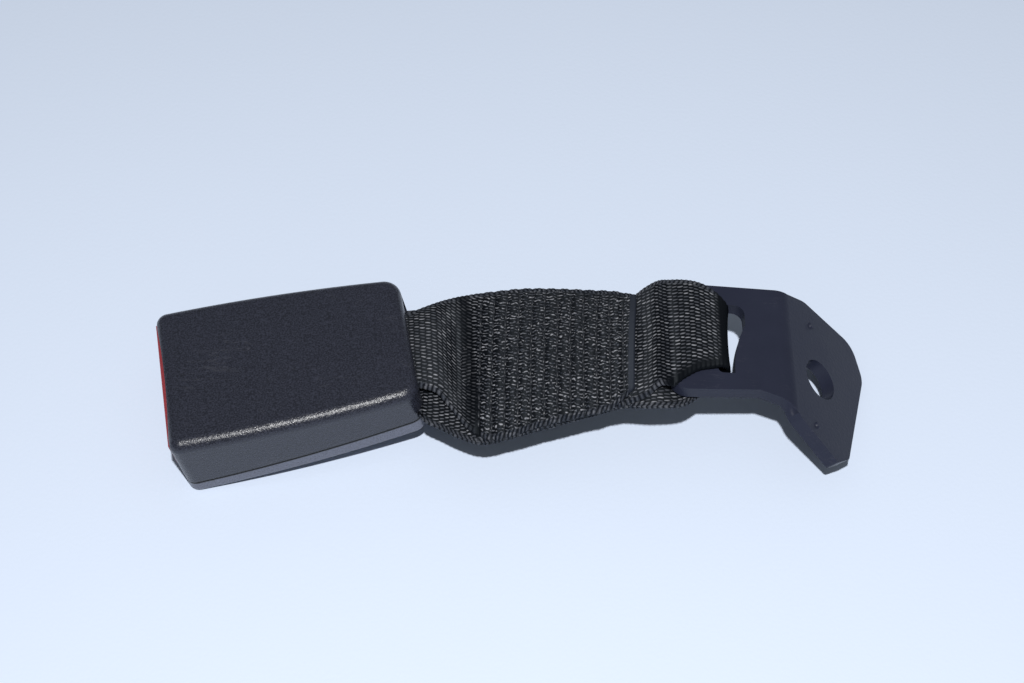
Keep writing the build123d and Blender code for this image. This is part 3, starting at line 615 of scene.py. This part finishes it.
def painted_steel(coat):
    """Satin black coat: orange peel in the bump, faint scuffs down to grey primer."""
    material, tree = start_material("satin_black_coat", Specular_IOR_Level=0.16)
    grain = use_group(tree, "moulded_grain", Scale=1300.0, Cloud=60.0)
    wear = use_group(tree, "scuffs", Amount=0.25, Fineness=160.0, Turn=0.9)
    tone = grain["Cloudy"].between(shade(coat, 0.8), shade(coat, 1.25))
    wire(tree, {"Base Color": wear["Mask"].between(tone, PRIMER_COLOUR),
                "Roughness": grain["Cloudy"].ranged(0.3, 0.42, 0.35, 0.65),
                "Normal": grain["Height"].bump(0.25, 0.0002)})
    return material


def webbing_cloth(settings):
    """Polyester webbing: twill floats with a painted glint on their crests and painted shade in the gaps
    between them and where the cloth is pressed smooth, smooth melted bands at cut ends.
    """
    material, tree = start_material("black_webbing", Specular_IOR_Level=0.2, Anisotropic=0.8,
                                    Anisotropic_Rotation=0.25, Specular_Tint=(0.80, 0.90, 1.0, 1.0))
    place, rim = (add(tree, "ShaderNodeUVMap", uv_map=layer) for layer in ("strip", "rim"))
    weave = use_group(tree, "twill_weave", Row=settings.yarn_row, Float=settings.yarn_float,
                      Rib=settings.rib_pitch, UV=place, Rim=rim)
    along = add(tree, "ShaderNodeSeparateXYZ", {0: place})
    melted = along.ranged(1.0, 0.0, settings.cut_band * 0.9, settings.cut_band * 1.1)
    yarn = tuple(settings.yarn_colour)
    # Painted shade: the gaps between the floats, and all the cloth that is pressed smooth, at 0.15 of the
    # yarn's colour.
    cloth = weave["Height"].between(shade(yarn, 0.15), yarn)
    # Painted glint: the floats' highlight laid in as colour, brightest on their crests.
    cloth = weave["Painted Glint"].between(cloth, tuple(settings.painted_glint_colour))
    wire(tree, {"Base Color": melted.between(cloth, CUT_BAND_COLOUR),
                "Roughness": weave["Painted Glint"].ranged(0.6, 0.36),
                "Normal": (weave["Height"] * (1.0 - melted)).bump(0.8, 0.0003),
                "Tangent": add(tree, "ShaderNodeTangent", direction_type="UV_MAP", uv_map="strip")})
    return material


def thread_cloth():
    """Bonded polyester thread: fine twist lines and a soft gloss."""
    material, tree = start_material("bonded_thread")
    twist = use_group(tree, "moulded_grain", Scale=2200.0, Stretch=(1.0, 0.25, 1.0))["Height"]
    wire(tree, {"Base Color": twist.between(*THREAD_COLOURS),
                "Roughness": twist.ranged(0.35, 0.6, 0.3, 0.7),
                "Normal": twist.bump(0.5, 0.0002)})
    return material


def floor_paint(colour):
    """Matt pale floor, faintly cloudy."""
    material, tree = start_material("pale_floor", Roughness=0.9, Specular_IOR_Level=0.1)
    grain = use_group(tree, "moulded_grain", Scale=900.0, Cloud=2.5)
    wire(tree, {"Base Color": grain["Cloudy"].between(shade(colour, 0.97), shade(colour, 1.03)),
                "Normal": grain["Height"].bump(0.15, 0.0003)})
    return material


def dress(names, material):
    """Give CAD nodes a material."""
    for name in names:
        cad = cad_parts[name]
        cad.data.materials.clear()
        cad.data.materials.append(material)


# ======== settings
class CoverSettings(bpy.types.PropertyGroup):
    shell_colour: bpy.props.FloatVectorProperty(
        name="Shell colour", description="Colour of the grained covers", subtype="COLOR",
        default=(0.010, 0.011, 0.017), min=0.0, max=1.0)
    button_colour: bpy.props.FloatVectorProperty(
        name="Button colour", description="Colour of the release button", subtype="COLOR",
        default=(0.19, 0.026, 0.032), min=0.0, max=1.0)
    grain_scale: bpy.props.FloatProperty(
        name="Grain scale", description="Cells of the mould grain per metre", default=2400.0, min=100.0)


class WebbingSettings(bpy.types.PropertyGroup):
    ply_thickness: bpy.props.FloatProperty(
        name="Ply thickness", description="Thickness of one layer of webbing",
        default=0.00125, unit="LENGTH", min=0.0005)
    yarn_row: bpy.props.FloatProperty(
        name="Yarn row", description="Width of one row of floats", default=0.00056, unit="LENGTH")
    yarn_float: bpy.props.FloatProperty(
        name="Yarn float", description="Length from one float to the next", default=0.0030, unit="LENGTH")
    cut_band: bpy.props.FloatProperty(
        name="Cut band", description="Width of the melted band at a cut end", default=0.0018, unit="LENGTH")
    rib_pitch: bpy.props.FloatProperty(
        name="Selvedge ribs", description="Distance between the ribs of the selvedge",
        default=0.00126, unit="LENGTH")
    stitch_pitch: bpy.props.FloatProperty(
        name="Stitch pitch", description="Distance between stitches in a column",
        default=0.0027, unit="LENGTH")
    thread_radius: bpy.props.FloatProperty(
        name="Thread radius", description="Half the thread's thickness", default=0.00034, unit="LENGTH")
    yarn_colour: bpy.props.FloatVectorProperty(
        name="Yarn colour", description="Colour of the webbing's yarn", subtype="COLOR",
        default=(0.014, 0.018, 0.028), min=0.0, max=1.0)
    # Colour of the painted glint, a highlight painted on the brightest floats.
    painted_glint_colour: bpy.props.FloatVectorProperty(
        name="Glint colour", description="Colour of the brightest floats", subtype="COLOR",
        default=(0.30, 0.305, 0.33), min=0.0, max=1.0)


class PlateSettings(bpy.types.PropertyGroup):
    coat_colour: bpy.props.FloatVectorProperty(
        name="Coat colour", description="Colour of the plate's paint", subtype="COLOR",
        default=(0.020, 0.023, 0.040), min=0.0, max=1.0)
    edge_round: bpy.props.FloatProperty(
        name="Edge round", description="Rounding of the stamped edges under the paint",
        default=0.00045, unit="LENGTH")


class StageSettings(bpy.types.PropertyGroup):
    floor_colour: bpy.props.FloatVectorProperty(
        name="Floor colour", description="Colour of the floor", subtype="COLOR",
        default=(0.68, 0.76, 0.90), min=0.0, max=1.0)
    key_strength: bpy.props.FloatProperty(
        name="Key strength", description="Power of the main lamp", default=28.5, min=0.0)
    key_place: bpy.props.FloatVectorProperty(
        name="Key place", description="Where the main lamp hangs", subtype="TRANSLATION",
        default=(0.0, -0.345, 0.775))
    key_radius: bpy.props.FloatProperty(
        name="Key radius", description="Half the main lamp's width, which softens its shadows",
        default=0.012, unit="LENGTH")
    sky_strength: bpy.props.FloatProperty(
        name="Sky strength", description="Strength of the even light", default=0.17, min=0.0)


# ======== stations of the two strips
# The places of the stitch columns along the stalk, and how far stitches stay from the selvedges, in mm.
STITCH_COLUMNS = np.linspace(12.6, 52.0, 12)
SEAM_MARGIN = 3.0

# One stitch: its length as a share of the pitch, its sides, how far the thread lies out of the cloth in
# radii, and the place, thickness and dip of each ring of thread from end to end.
STITCH_SHARE = 0.88
STITCH_SIDES = 8
THREAD_LIFT = 0.35
RING_PLACES = np.array([-1.0, -0.86, -0.5, 0.0, 0.5, 0.86, 1.0])
RING_SWELL = np.array([0.15, 0.75, 1.0, 1.08, 1.0, 0.75, 0.15])
RING_DIP = np.array([-1.2, -0.7, -0.1, 0.15, -0.1, -0.7, -1.2])

# frame, edge at t = 0, edge at t = 1, crown, ripple.  The buckle strip's first edge is the south one.
BUCKLE_STATIONS = [
    ("stalk", (55.0, -17.0, 0.0), (55.9, 12.4, 0.7), 1.7, 0.0),
    ("stalk", (48.5, -22.6, -0.7), (49.9, 14.3, 0.5), 1.9, 0.0),
    ("stalk", (40.0, -24.7, -0.9), (43.0, 15.3, 0.4), 2.0, 0.0),
    ("stalk", (30.0, -26.8, -1.0), (33.0, 16.6, 0.3), 2.1, 0.0),
    ("stalk", (21.0, -29.4, -1.4), (23.0, 17.3, 0.2), 2.2, 0.0),
    ("stalk", (15.6, -29.9, -1.9), (16.6, 17.0, 0.1), 2.0, 0.1),
    ("stalk", (12.6, -28.7, -1.6), (12.4, 16.7, 0.0), 1.0, 0.2),
    ("stalk", (9.9, -26.5, -1.3), (8.8, 16.2, -0.2), -0.9, 0.2),
    ("stalk", (7.2, -23.1, -1.0), (5.6, 15.7, -0.1), -0.7, 0.3),
    ("stalk", (4.4, -19.5, -0.3), (2.4, 14.8, 0.3), 1.1, 0.3),
    ("stalk", (1.4, -15.9, 0.8), (-0.4, 13.7, 0.7), 2.0, 0.2),
    ("stalk", (-2.0, -14.6, 1.5), (-4.2, 12.0, 1.0), 2.0, 0.1),
    ("stalk", (-6.5, -13.6, 1.9), (-8.6, 10.0, 1.2), 1.7, 0.0),
    ("buckle", (62.0, -11.0, 7.4), (62.0, 11.0, 7.4), 0.6, 0.0),
    ("buckle", (57.5, -10.0, 8.4), (57.5, 10.0, 8.4), 0.0, 0.0),
    ("buckle", (54.0, -10.0, 7.2), (54.0, 10.0, 7.2), 0.0, 0.0),
    ("buckle", (52.7, -10.0, 4.0), (52.7, 10.0, 4.0), 0.0, 0.0),
    ("buckle", (54.0, -10.0, 0.9), (54.0, 10.0, 0.9), 0.0, 0.0),
    ("buckle", (57.5, -10.4, -0.3), (57.5, 10.4, -0.3), 0.0, 0.0),
    ("buckle", (62.0, -13.0, 0.7), (62.0, 12.0, 0.7), 0.4, 0.0),
    ("buckle", (67.2, -15.6, 1.0), (67.0, 14.6, 0.9), 0.9, 0.0),
    ("stalk", (-2.8, -22.6, -2.6), (-2.6, 13.0, -2.9), 0.8, 0.0),
    ("stalk", (2.4, -25.9, -3.0), (2.0, 13.6, -3.1), 0.4, 0.0),
    ("stalk", (7.0, -28.4, -3.4), (6.6, 14.4, -3.2), -0.2, 0.0),
    ("stalk", (12.8, -30.6, -3.7), (12.0, 15.6, -3.4), -0.9, 0.0),
    ("stalk", (21.0, -29.2, -3.8), (21.0, 16.0, -3.2), -1.7, 0.0),
    ("stalk", (33.0, -25.7, -3.6), (33.0, 15.6, -3.0), -1.9, 0.0),
]

# The bar strip starts between the stitched plies, goes over the bar, through the slot and back.
BAR_STATIONS = [
    ("stalk", (15.0, 15.2, -1.1), (15.0, -28.6, -2.9), 2.0, 0.0),
    ("stalk", (26.0, 16.0, -1.0), (26.0, -27.0, -2.4), 2.1, 0.0),
    ("stalk", (38.0, 15.0, -0.9), (38.0, -24.4, -2.2), 2.0, 0.0),
    ("stalk", (48.0, 13.4, -0.8), (48.0, -22.2, -2.0), 1.9, 0.0),
    ("stalk", (54.4, 13.0, -0.7), (53.6, -20.6, -1.9), 1.1, 0.1),
    ("stalk", (58.0, 15.1, 0.1), (58.2, -18.8, -1.4), 0.1, 0.3),
    ("stalk", (61.2, 16.2, 1.2), (61.4, -16.6, 0.0), 0.1, 0.3),
    ("plate", (0.4, 23.4, 5.4), (0.6, -9.8, 4.6), 0.7, 0.2),
    ("plate", (4.2, 23.2, 6.1), (4.0, -7.2, 5.2), 0.8, 0.1),
    ("plate", (7.8, 22.7, 6.3), (7.6, -5.0, 5.6), 0.5, 0.1),
    ("plate", (11.2, 21.4, 6.1), (11.4, -4.0, 5.6), 0.2, 0.0),
    ("plate", (14.4, 19.0, 5.6), (14.4, -3.4, 5.2), 0.0, 0.0),
    ("plate", (16.7, 17.0, 4.2), (16.2, -3.4, 4.0), -0.3, 0.0),
    ("plate", (17.4, 16.4, 2.0), (16.7, -3.7, 2.0), -0.5, 0.0),
    ("plate", (16.4, 16.4, -0.4), (16.0, -4.0, -0.2), -0.3, 0.0),
    ("plate", (14.0, 16.6, -1.9), (14.0, -5.2, -1.8), 0.0, 0.0),
    ("plate", (9.0, 17.2, -2.4), (9.6, -8.2, -2.4), 0.0, 0.1),
    ("plate", (3.0, 17.4, -2.5), (4.0, -12.2, -2.5), 0.0, 0.2),
    ("stalk", (61.0, 11.6, -3.2), (60.4, -22.0, -3.6), -0.3, 0.2),
    ("stalk", (53.0, 12.4, -3.6), (52.0, -21.0, -4.2), -1.2, 0.1),
    ("stalk", (43.0, 14.2, -4.2), (43.0, -22.8, -4.6), -1.6, 0.0),
    ("stalk", (30.0, 15.2, -4.6), (30.0, -26.0, -5.0), -1.8, 0.0),
    ("stalk", (18.0, 14.6, -4.8), (18.0, -28.2, -5.3), -1.6, 0.0),
]

# The woven strips by the names of their pieces, for the stitches that are sewn into them.
STRIPS = {}

# Where the plies are sewn together along the stalk, in mm: each pair starts and ends a fade.
SEWN_RISE = (8.0, 14.0)
SEWN_FALL = (57.0, 54.0)

# The groove that a stitch column pulls into a strip, and the spread of its pressed threads, in mm.
PULL_DEPTH = 0.3
PULL_SPREAD = 0.75
COLUMN_SPREAD = 0.55

# The valley before the seam runs aslant across the top ply, pressed smooth and painted in shade: its
# middle on the stalk's centre line, how far that moves back per mm north, and the fades before it, after it
# and below it.
VALLEY_MIDDLE = 9.0
VALLEY_SLANT = 0.1
VALLEY_RISE = (-3.8, -0.8)
VALLEY_FALL = (2.2, 1.2)
VALLEY_FLOOR = (-3.3, -3.0)

# At the bar, in the plate frame: where the strip turns down into the slot, and its hem on top, both pressed
# smooth and painted in shade.
TURN_RISE = (12.6, 14.2)
TURN_FLOOR = (-2.0, -1.0)
HEM_SHARE = (0.86, 0.97)
HEM_RISE = (-4.0, 0.0)
HEM_FLOOR = (2.0, 3.0)

# How flat the valley and the stitch columns are pressed, and how deeply they are painted in shade.
VALLEY_PRESS_AND_SHADE = 0.8
COLUMN_PRESS_AND_SHADE = 0.85


def faded(value, start, end):
    """Straight fade from 0 at start to 1 at end."""
    return np.clip((value - start) / (end - start), 0, 1)


def sewn_together(along):
    """1 where the plies are sewn together, 0 past the two ends of the seam."""
    return faded(along, *SEWN_RISE) * faded(along, *SEWN_FALL)


def pressed_and_shaded(strip, together):
    """Where the weave is pressed flat and painted in shade, 0 to 1: the valley before the seam, the side
    turned down into the slot, the hem at the bar and the stitch columns.  The flattening is in the bump; the
    shade is painted colour."""
    stalk = local("stalk", strip.outer)
    side = stalk[..., 0] - (VALLEY_MIDDLE - VALLEY_SLANT * stalk[..., 1])
    valley = smoothed(side, *VALLEY_RISE) * smoothed(side, *VALLEY_FALL)
    valley = valley * smoothed(stalk[..., 2], *VALLEY_FLOOR)
    plate = local("plate", strip.outer)
    turned_side = smoothed(plate[..., 0], *TURN_RISE) * smoothed(plate[..., 2], *TURN_FLOOR)
    hem = smoothed(strip.t, *HEM_SHARE) * smoothed(plate[..., 0], *HEM_RISE)
    hem = hem * smoothed(plate[..., 2], *HEM_FLOOR)
    columns = together * bumps_in(stalk[..., 0], STITCH_COLUMNS, COLUMN_SPREAD)
    return np.clip(VALLEY_PRESS_AND_SHADE * valley + turned_side + hem + COLUMN_PRESS_AND_SHADE * columns, 0, 1)


# ======== operators
class BUCKLE_OT_mould_covers(bpy.types.Operator):
    """Grain the two covers and the tongue guide"""
    bl_idname = "buckle.mould_covers"
    bl_label = "Mould covers"

    def execute(self, context):
        settings = context.scene.buckle_covers
        shell = tuple(settings.shell_colour)
        grained = plastic("grained_black_plastic", shell, shade(shell, 1.5), rough=0.30,
                          grain_scale=settings.grain_scale, grain_depth=0.6, scuff=0.35, seam=True)
        dress(["upper_cover"], grained)
        # The lower cover has painted light: its colour is made lighter for the light its side catches, and
        # its finer grain and roughness are its own.
        lit_lower_plastic = plastic("lit_black_plastic", LIT_LOWER_COVER_COLOUR, shade(LIT_LOWER_COVER_COLOUR, 1.1), rough=0.34,
                        grain_scale=4000.0, grain_depth=0.15, scuff=0.1, seam=True)
        dress(["lower_cover"], lit_lower_plastic)
        smooth = plastic("smooth_black_plastic", *GUIDE_COLOURS, rough=0.35,
                         grain_scale=3000.0, grain_depth=0.1, scuff=0.2)
        dress(["tongue_guide"], smooth)
        return {"FINISHED"}


def filled_dish(points):
    """Bring the button's dished front out to one flat plane, fading to nothing behind it."""
    spot = local("buckle", points)
    depth = spot[:, 0] - BUTTON_FRONT
    spot[:, 0] -= BUTTON_PROUD * np.clip(1 - (depth - BUTTON_DISH) / BUTTON_FADE, 0, 1)
    spot[depth < BUTTON_DISH + CLOSE, 0] = BUTTON_FRONT - BUTTON_PROUD
    return placed("buckle", spot)


class BUCKLE_OT_mould_button(bpy.types.Operator):
    """Colour the release button and flatten its front"""
    bl_idname = "buckle.mould_button"
    bl_label = "Mould button"

    def execute(self, context):
        red = tuple(context.scene.buckle_covers.button_colour)
        glossy = plastic("red_plastic", shade(red, 0.85), red, rough=0.33,
                         grain_scale=5000.0, grain_depth=0.08, scuff=0.35, sheen=0.05)
        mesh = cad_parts["release_button"].data.copy()
        mesh.name = "moulded_button"
        mesh.materials.clear()
        reshape(mesh, filled_dish)
        piece = show("moulded_button", mesh, glossy)
        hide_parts("release_button")
        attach(piece, "button")
        return {"FINISHED"}


class BUCKLE_OT_finish_mechanism(bpy.types.Operator):
    """Plate the steel parts, draw the springs and mould the ejector"""
    bl_idname = "buckle.finish_mechanism"
    bl_label = "Finish mechanism"

    def execute(self, context):
        plated = steel("plated_steel", PLATED_STEEL, rough=0.32, stretch=(1.0, 0.2, 1.0), scuff=0.3)
        dress(["buckle_frame", "spring_bridge", "latch", "latch_axle", "webbing_pin"], plated)
        drawn = steel("spring_steel", SPRING_STEEL, rough=0.24, stretch=(0.3, 1.0, 1.0), scuff=0.1)
        dress(["button_spring_left", "button_spring_right", "ejector_spring", "latch_spring", "pin_clip"],
              drawn)
        acetal = plastic("white_plastic", *ACETAL_COLOURS, rough=0.38,
                         grain_scale=5000.0, grain_depth=0.1, scuff=0.1)
        dress(["ejector"], acetal)
        return {"FINISHED"}


class BUCKLE_OT_weave_webbing(bpy.types.Operator):
    """Weave the strip round the buckle's pin and the strip round the plate's bar"""
    bl_idname = "buckle.weave_webbing"
    bl_label = "Weave webbing"

    def execute(self, context):
        settings = context.scene.buckle_webbing
        cloth = webbing_cloth(settings)
        pieces = []
        for name, stations in (("webbing_buckle_strip", BUCKLE_STATIONS),
                               ("webbing_bar_strip", BAR_STATIONS)):
            strip = Strip(stations, settings.ply_thickness / MM)
            along = local("stalk", strip.outer)[..., 0]
            together = sewn_together(along)
            strip.press(PULL_DEPTH * together * bumps_in(along, STITCH_COLUMNS, PULL_SPREAD))
            smooth = pressed_and_shaded(strip, together)
            # state: 1 where sewn, -1 where pressed smooth, which flattens the weave and paints it in shade.
            strip.state = together * (1 - smooth) - smooth
            strip.rib_edges(settings.rib_pitch / MM)
            STRIPS[name] = strip
            pieces.append(strip.build(name, cloth))
        buckle_piece, bar_piece = pieces
        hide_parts("webbing_buckle_loop", "webbing_buckle_flex", "webbing_stitched_stalk")
        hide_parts("webbing_anchor_flex", "webbing_anchor_loop")
        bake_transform(buckle_piece)
        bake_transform(bar_piece)
        return {"FINISHED"}


class BUCKLE_OT_sew_stalk(bpy.types.Operator):
    """Sew the stitch columns through the stalk, seen on its top and underside"""
    bl_idname = "buckle.sew_stalk"
    bl_label = "Sew stalk"

    def execute(self, context):
        settings = context.scene.buckle_webbing
        thread = thread_cloth()
        for name, strip, on_top in (("stitches_top", STRIPS["webbing_buckle_strip"], True),
                                    ("stitches_under", STRIPS["webbing_bar_strip"], False)):
            piece = sewn(name, strip, on_top, settings, thread)
            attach(piece, "stalk")
        return {"FINISHED"}


def stitch_places(strip, on_top, pitch):
    """Centre, direction and up of every stitch: even steps along the line where each column meets the
    outer face, on the strip's first half where it is on top and on its last half where it is not."""
    along = local("stalk", strip.outer)[..., 0]
    row = np.arange(len(along))
    half = len(along) // 2
    kept = row < half if on_top else row > half
    along = np.where(kept[:, None], along, np.inf)
    lane = np.arange(len(strip.t))
    grids = strip.outer, unit(np.gradient(strip.outer, axis=1)), facing(strip.outer, strip.along)
    columns = []
    for column in STITCH_COLUMNS:
        row = np.abs(along - column).argmin(axis=0)
        lines = [grid[row, lane] for grid in grids]
        length = run_length(lines[0])
        at = np.arange(SEAM_MARGIN, length[-1] - SEAM_MARGIN, pitch)
        columns.append([np.stack([np.interp(at, length, part) for part in line.T], -1) for line in lines])
    return [np.concatenate(parts)[:, None, None] for parts in zip(*columns)]


def sewn(name, strip, on_top, settings, thread):
    """Short threads along each column: rings of thread radius r round each stitch, swollen in the middle
    and small at the ends, which dip into the cloth."""
    pitch = settings.stitch_pitch / MM
    radius = settings.thread_radius / MM
    centres, ways, ups = stitch_places(strip, on_top, pitch)
    angle = np.arange(STITCH_SIDES) * 2 * np.pi / STITCH_SIDES
    swell = RING_SWELL[:, None]
    lift = radius * (swell * np.sin(angle) + RING_DIP[:, None] + THREAD_LIFT)
    wide = radius * swell * np.cos(angle)
    reach = pitch * STITCH_SHARE / 2 * RING_PLACES
    points = (centres + ways * reach[:, None, None] + ups * lift[..., None]
              + unit(np.cross(ways, ups)) * wide[..., None])
    faces, _, _ = grid_faces(len(RING_PLACES), STITCH_SIDES)
    first = (np.arange(len(centres)) * len(RING_PLACES) * STITCH_SIDES)[:, None, None]
    side = np.arange(STITCH_SIDES)
    caps = np.stack([side[::-1], side + (len(RING_PLACES) - 1) * STITCH_SIDES])
    polygons = (first + faces).reshape(-1, 4).tolist() + (first + caps).reshape(-1, STITCH_SIDES).tolist()
    return new_piece(name, points, polygons, thread)


# Points nearer than MERGE_REACH in metres become one, faces that turn less than FLAT_ANGLE in degrees are
# joined, and edges that turn more than SHARP_ANGLE are rounded.
MERGE_REACH = 2e-6
FLAT_ANGLE = 0.4
SHARP_ANGLE = 40


def joined_faces(source, name):
    """Copy of a mesh with its shared points merged and its flat triangles joined into large faces."""
    work = bmesh.new()
    work.from_mesh(source)
    bmesh.ops.remove_doubles(work, verts=work.verts, dist=MERGE_REACH)
    bmesh.ops.dissolve_limit(work, angle_limit=np.radians(FLAT_ANGLE), verts=work.verts, edges=work.edges,
                             delimit={"NORMAL"})
    for face in work.faces:
        face.smooth = True
    mesh = bpy.data.meshes.new(name)
    work.to_mesh(mesh)
    work.free()
    return mesh


def flared(points):
    """Swing the plate's south edge out round the bend, as stamping leaves it.

    Its y moves by FLARE_IN - (FLARE_IN + FLARE_OUT) g^1.2, with g from 0 to 1 along the arc, and along
    the tab by -FLARE_OUT (1 - x / FLARE_LENGTH)^1.3.
    """
    spot = local("plate", points)
    past, over = spot[:, 0] - BEND_START, spot[:, 2] + BEND_RADIUS
    angle = np.degrees(np.arctan2(past, over))
    turn = np.radians(BEND_ANGLE)
    down = past * np.cos(turn) - over * np.sin(turn)
    bend = np.clip(angle / BEND_ANGLE, 0, 1)
    tab = np.clip(1 - np.clip(down, 0, None) / FLARE_LENGTH, 0, 1) ** 1.3
    shift = np.where(down > CLOSE, -FLARE_OUT * tab, FLARE_IN - (FLARE_IN + FLARE_OUT) * bend**1.2)
    on_pip = np.hypot(down - SOUTH_PIP[0], spot[:, 1] - SOUTH_PIP[1]) < PIP_ROOM
    south = (spot[:, 1] < SOUTH_EDGE) & (past > -CLOSE) & ~on_pip
    spot[:, 1] += np.where(south, shift, 0)
    return placed("plate", spot)


def modify(piece, name, kind, **values):
    """Add a modifier with its values."""
    modifier = piece.modifiers.new(name, kind)
    for key, value in values.items():
        setattr(modifier, key, value)


class BUCKLE_OT_paint_plate(bpy.types.Operator):
    """Round the stamped edges of the anchor plate and paint it"""
    bl_idname = "buckle.paint_plate"
    bl_label = "Paint plate"

    def execute(self, context):
        settings = context.scene.buckle_plate
        mesh = joined_faces(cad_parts["anchor_plate"].data, "painted_plate")
        reshape(mesh, flared)
        piece = show("painted_plate", mesh, painted_steel(tuple(settings.coat_colour)))
        modify(piece, "stamped edge", "BEVEL", width=settings.edge_round, segments=3, harden_normals=True,
               limit_method="ANGLE", angle_limit=np.radians(SHARP_ANGLE), use_clamp_overlap=True)
        modify(piece, "flat faces", "WEIGHTED_NORMAL", mode="FACE_AREA", weight=100)
        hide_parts("anchor_plate")
        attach(piece, "anchor")
        return {"FINISHED"}


class BUCKLE_OT_set_stage(bpy.types.Operator):
    """Lay the floor, hang the lamp and place the camera"""
    bl_idname = "buckle.set_stage"
    bl_label = "Set stage"

    def execute(self, context):
        settings = context.scene.buckle_stage
        scene = context.scene
        corners = [(x * FLOOR_HALF, y * FLOOR_HALF, 0) for x, y in ((-1, -1), (1, -1), (1, 1), (-1, 1))]
        floor = new_piece("floor", corners, [(0, 1, 2, 3)], floor_paint(settings.floor_colour))
        world = bpy.data.worlds.new("even_light")
        world.use_nodes = True
        sky = world.node_tree.nodes["Background"]
        sky.inputs["Color"].default_value = (*SKY_COLOUR, 1.0)
        sky.inputs["Strength"].default_value = settings.sky_strength
        scene.world = world
        lamp = bpy.data.lights.new("key", "POINT")
        lamp.energy = settings.key_strength
        lamp.shadow_soft_size = settings.key_radius
        put("key", lamp).location = settings.key_place
        camera = put("camera", bpy.data.cameras.new("camera"))
        camera.data.lens = CAMERA_LENS
        camera.data.clip_start = 0.01
        slope = np.radians(CAMERA_ELEVATION)
        back = np.array([0.0, -np.cos(slope), np.sin(slope)]) * CAMERA_DISTANCE
        camera.location = (np.array(CAMERA_AIM) + back) * MM
        camera.rotation_euler = (np.radians(90 - CAMERA_ELEVATION), 0, 0)
        scene.camera = camera
        scene.view_settings.view_transform = "Standard"
        return {"FINISHED"}


class BUCKLE_PT_dresser(bpy.types.Panel):
    """Sizes, colours and steps of the buckle's dress"""
    bl_idname = "BUCKLE_PT_dresser"
    bl_label = "Seat belt buckle"
    bl_space_type = "VIEW_3D"
    bl_region_type = "UI"
    bl_category = "Buckle"

    def draw(self, context):
        for group, place in GROUP_CLASSES.items():
            for name in group.__annotations__:
                self.layout.prop(getattr(context.scene, place), name)
        for operator in OPERATORS:
            self.layout.operator(operator.bl_idname)


GROUP_CLASSES = {CoverSettings: "buckle_covers", WebbingSettings: "buckle_webbing",
                 PlateSettings: "buckle_plate", StageSettings: "buckle_stage"}
OPERATORS = (BUCKLE_OT_set_stage, BUCKLE_OT_mould_covers, BUCKLE_OT_mould_button, BUCKLE_OT_finish_mechanism,
             BUCKLE_OT_weave_webbing, BUCKLE_OT_sew_stalk, BUCKLE_OT_paint_plate)


def register():
    for group, name in GROUP_CLASSES.items():
        bpy.utils.register_class(group)
        setattr(bpy.types.Scene, name, bpy.props.PointerProperty(type=group))
    for part in (*OPERATORS, BUCKLE_PT_dresser):
        bpy.utils.register_class(part)


def unregister():
    for part in (*OPERATORS, BUCKLE_PT_dresser):
        bpy.utils.unregister_class(part)
    for group, name in GROUP_CLASSES.items():
        delattr(bpy.types.Scene, name)
        bpy.utils.unregister_class(group)


def main():
    register()
    for operator in OPERATORS:
        getattr(bpy.ops.buckle, operator.bl_idname.removeprefix("buckle."))()


if __name__ == "__main__":
    main()
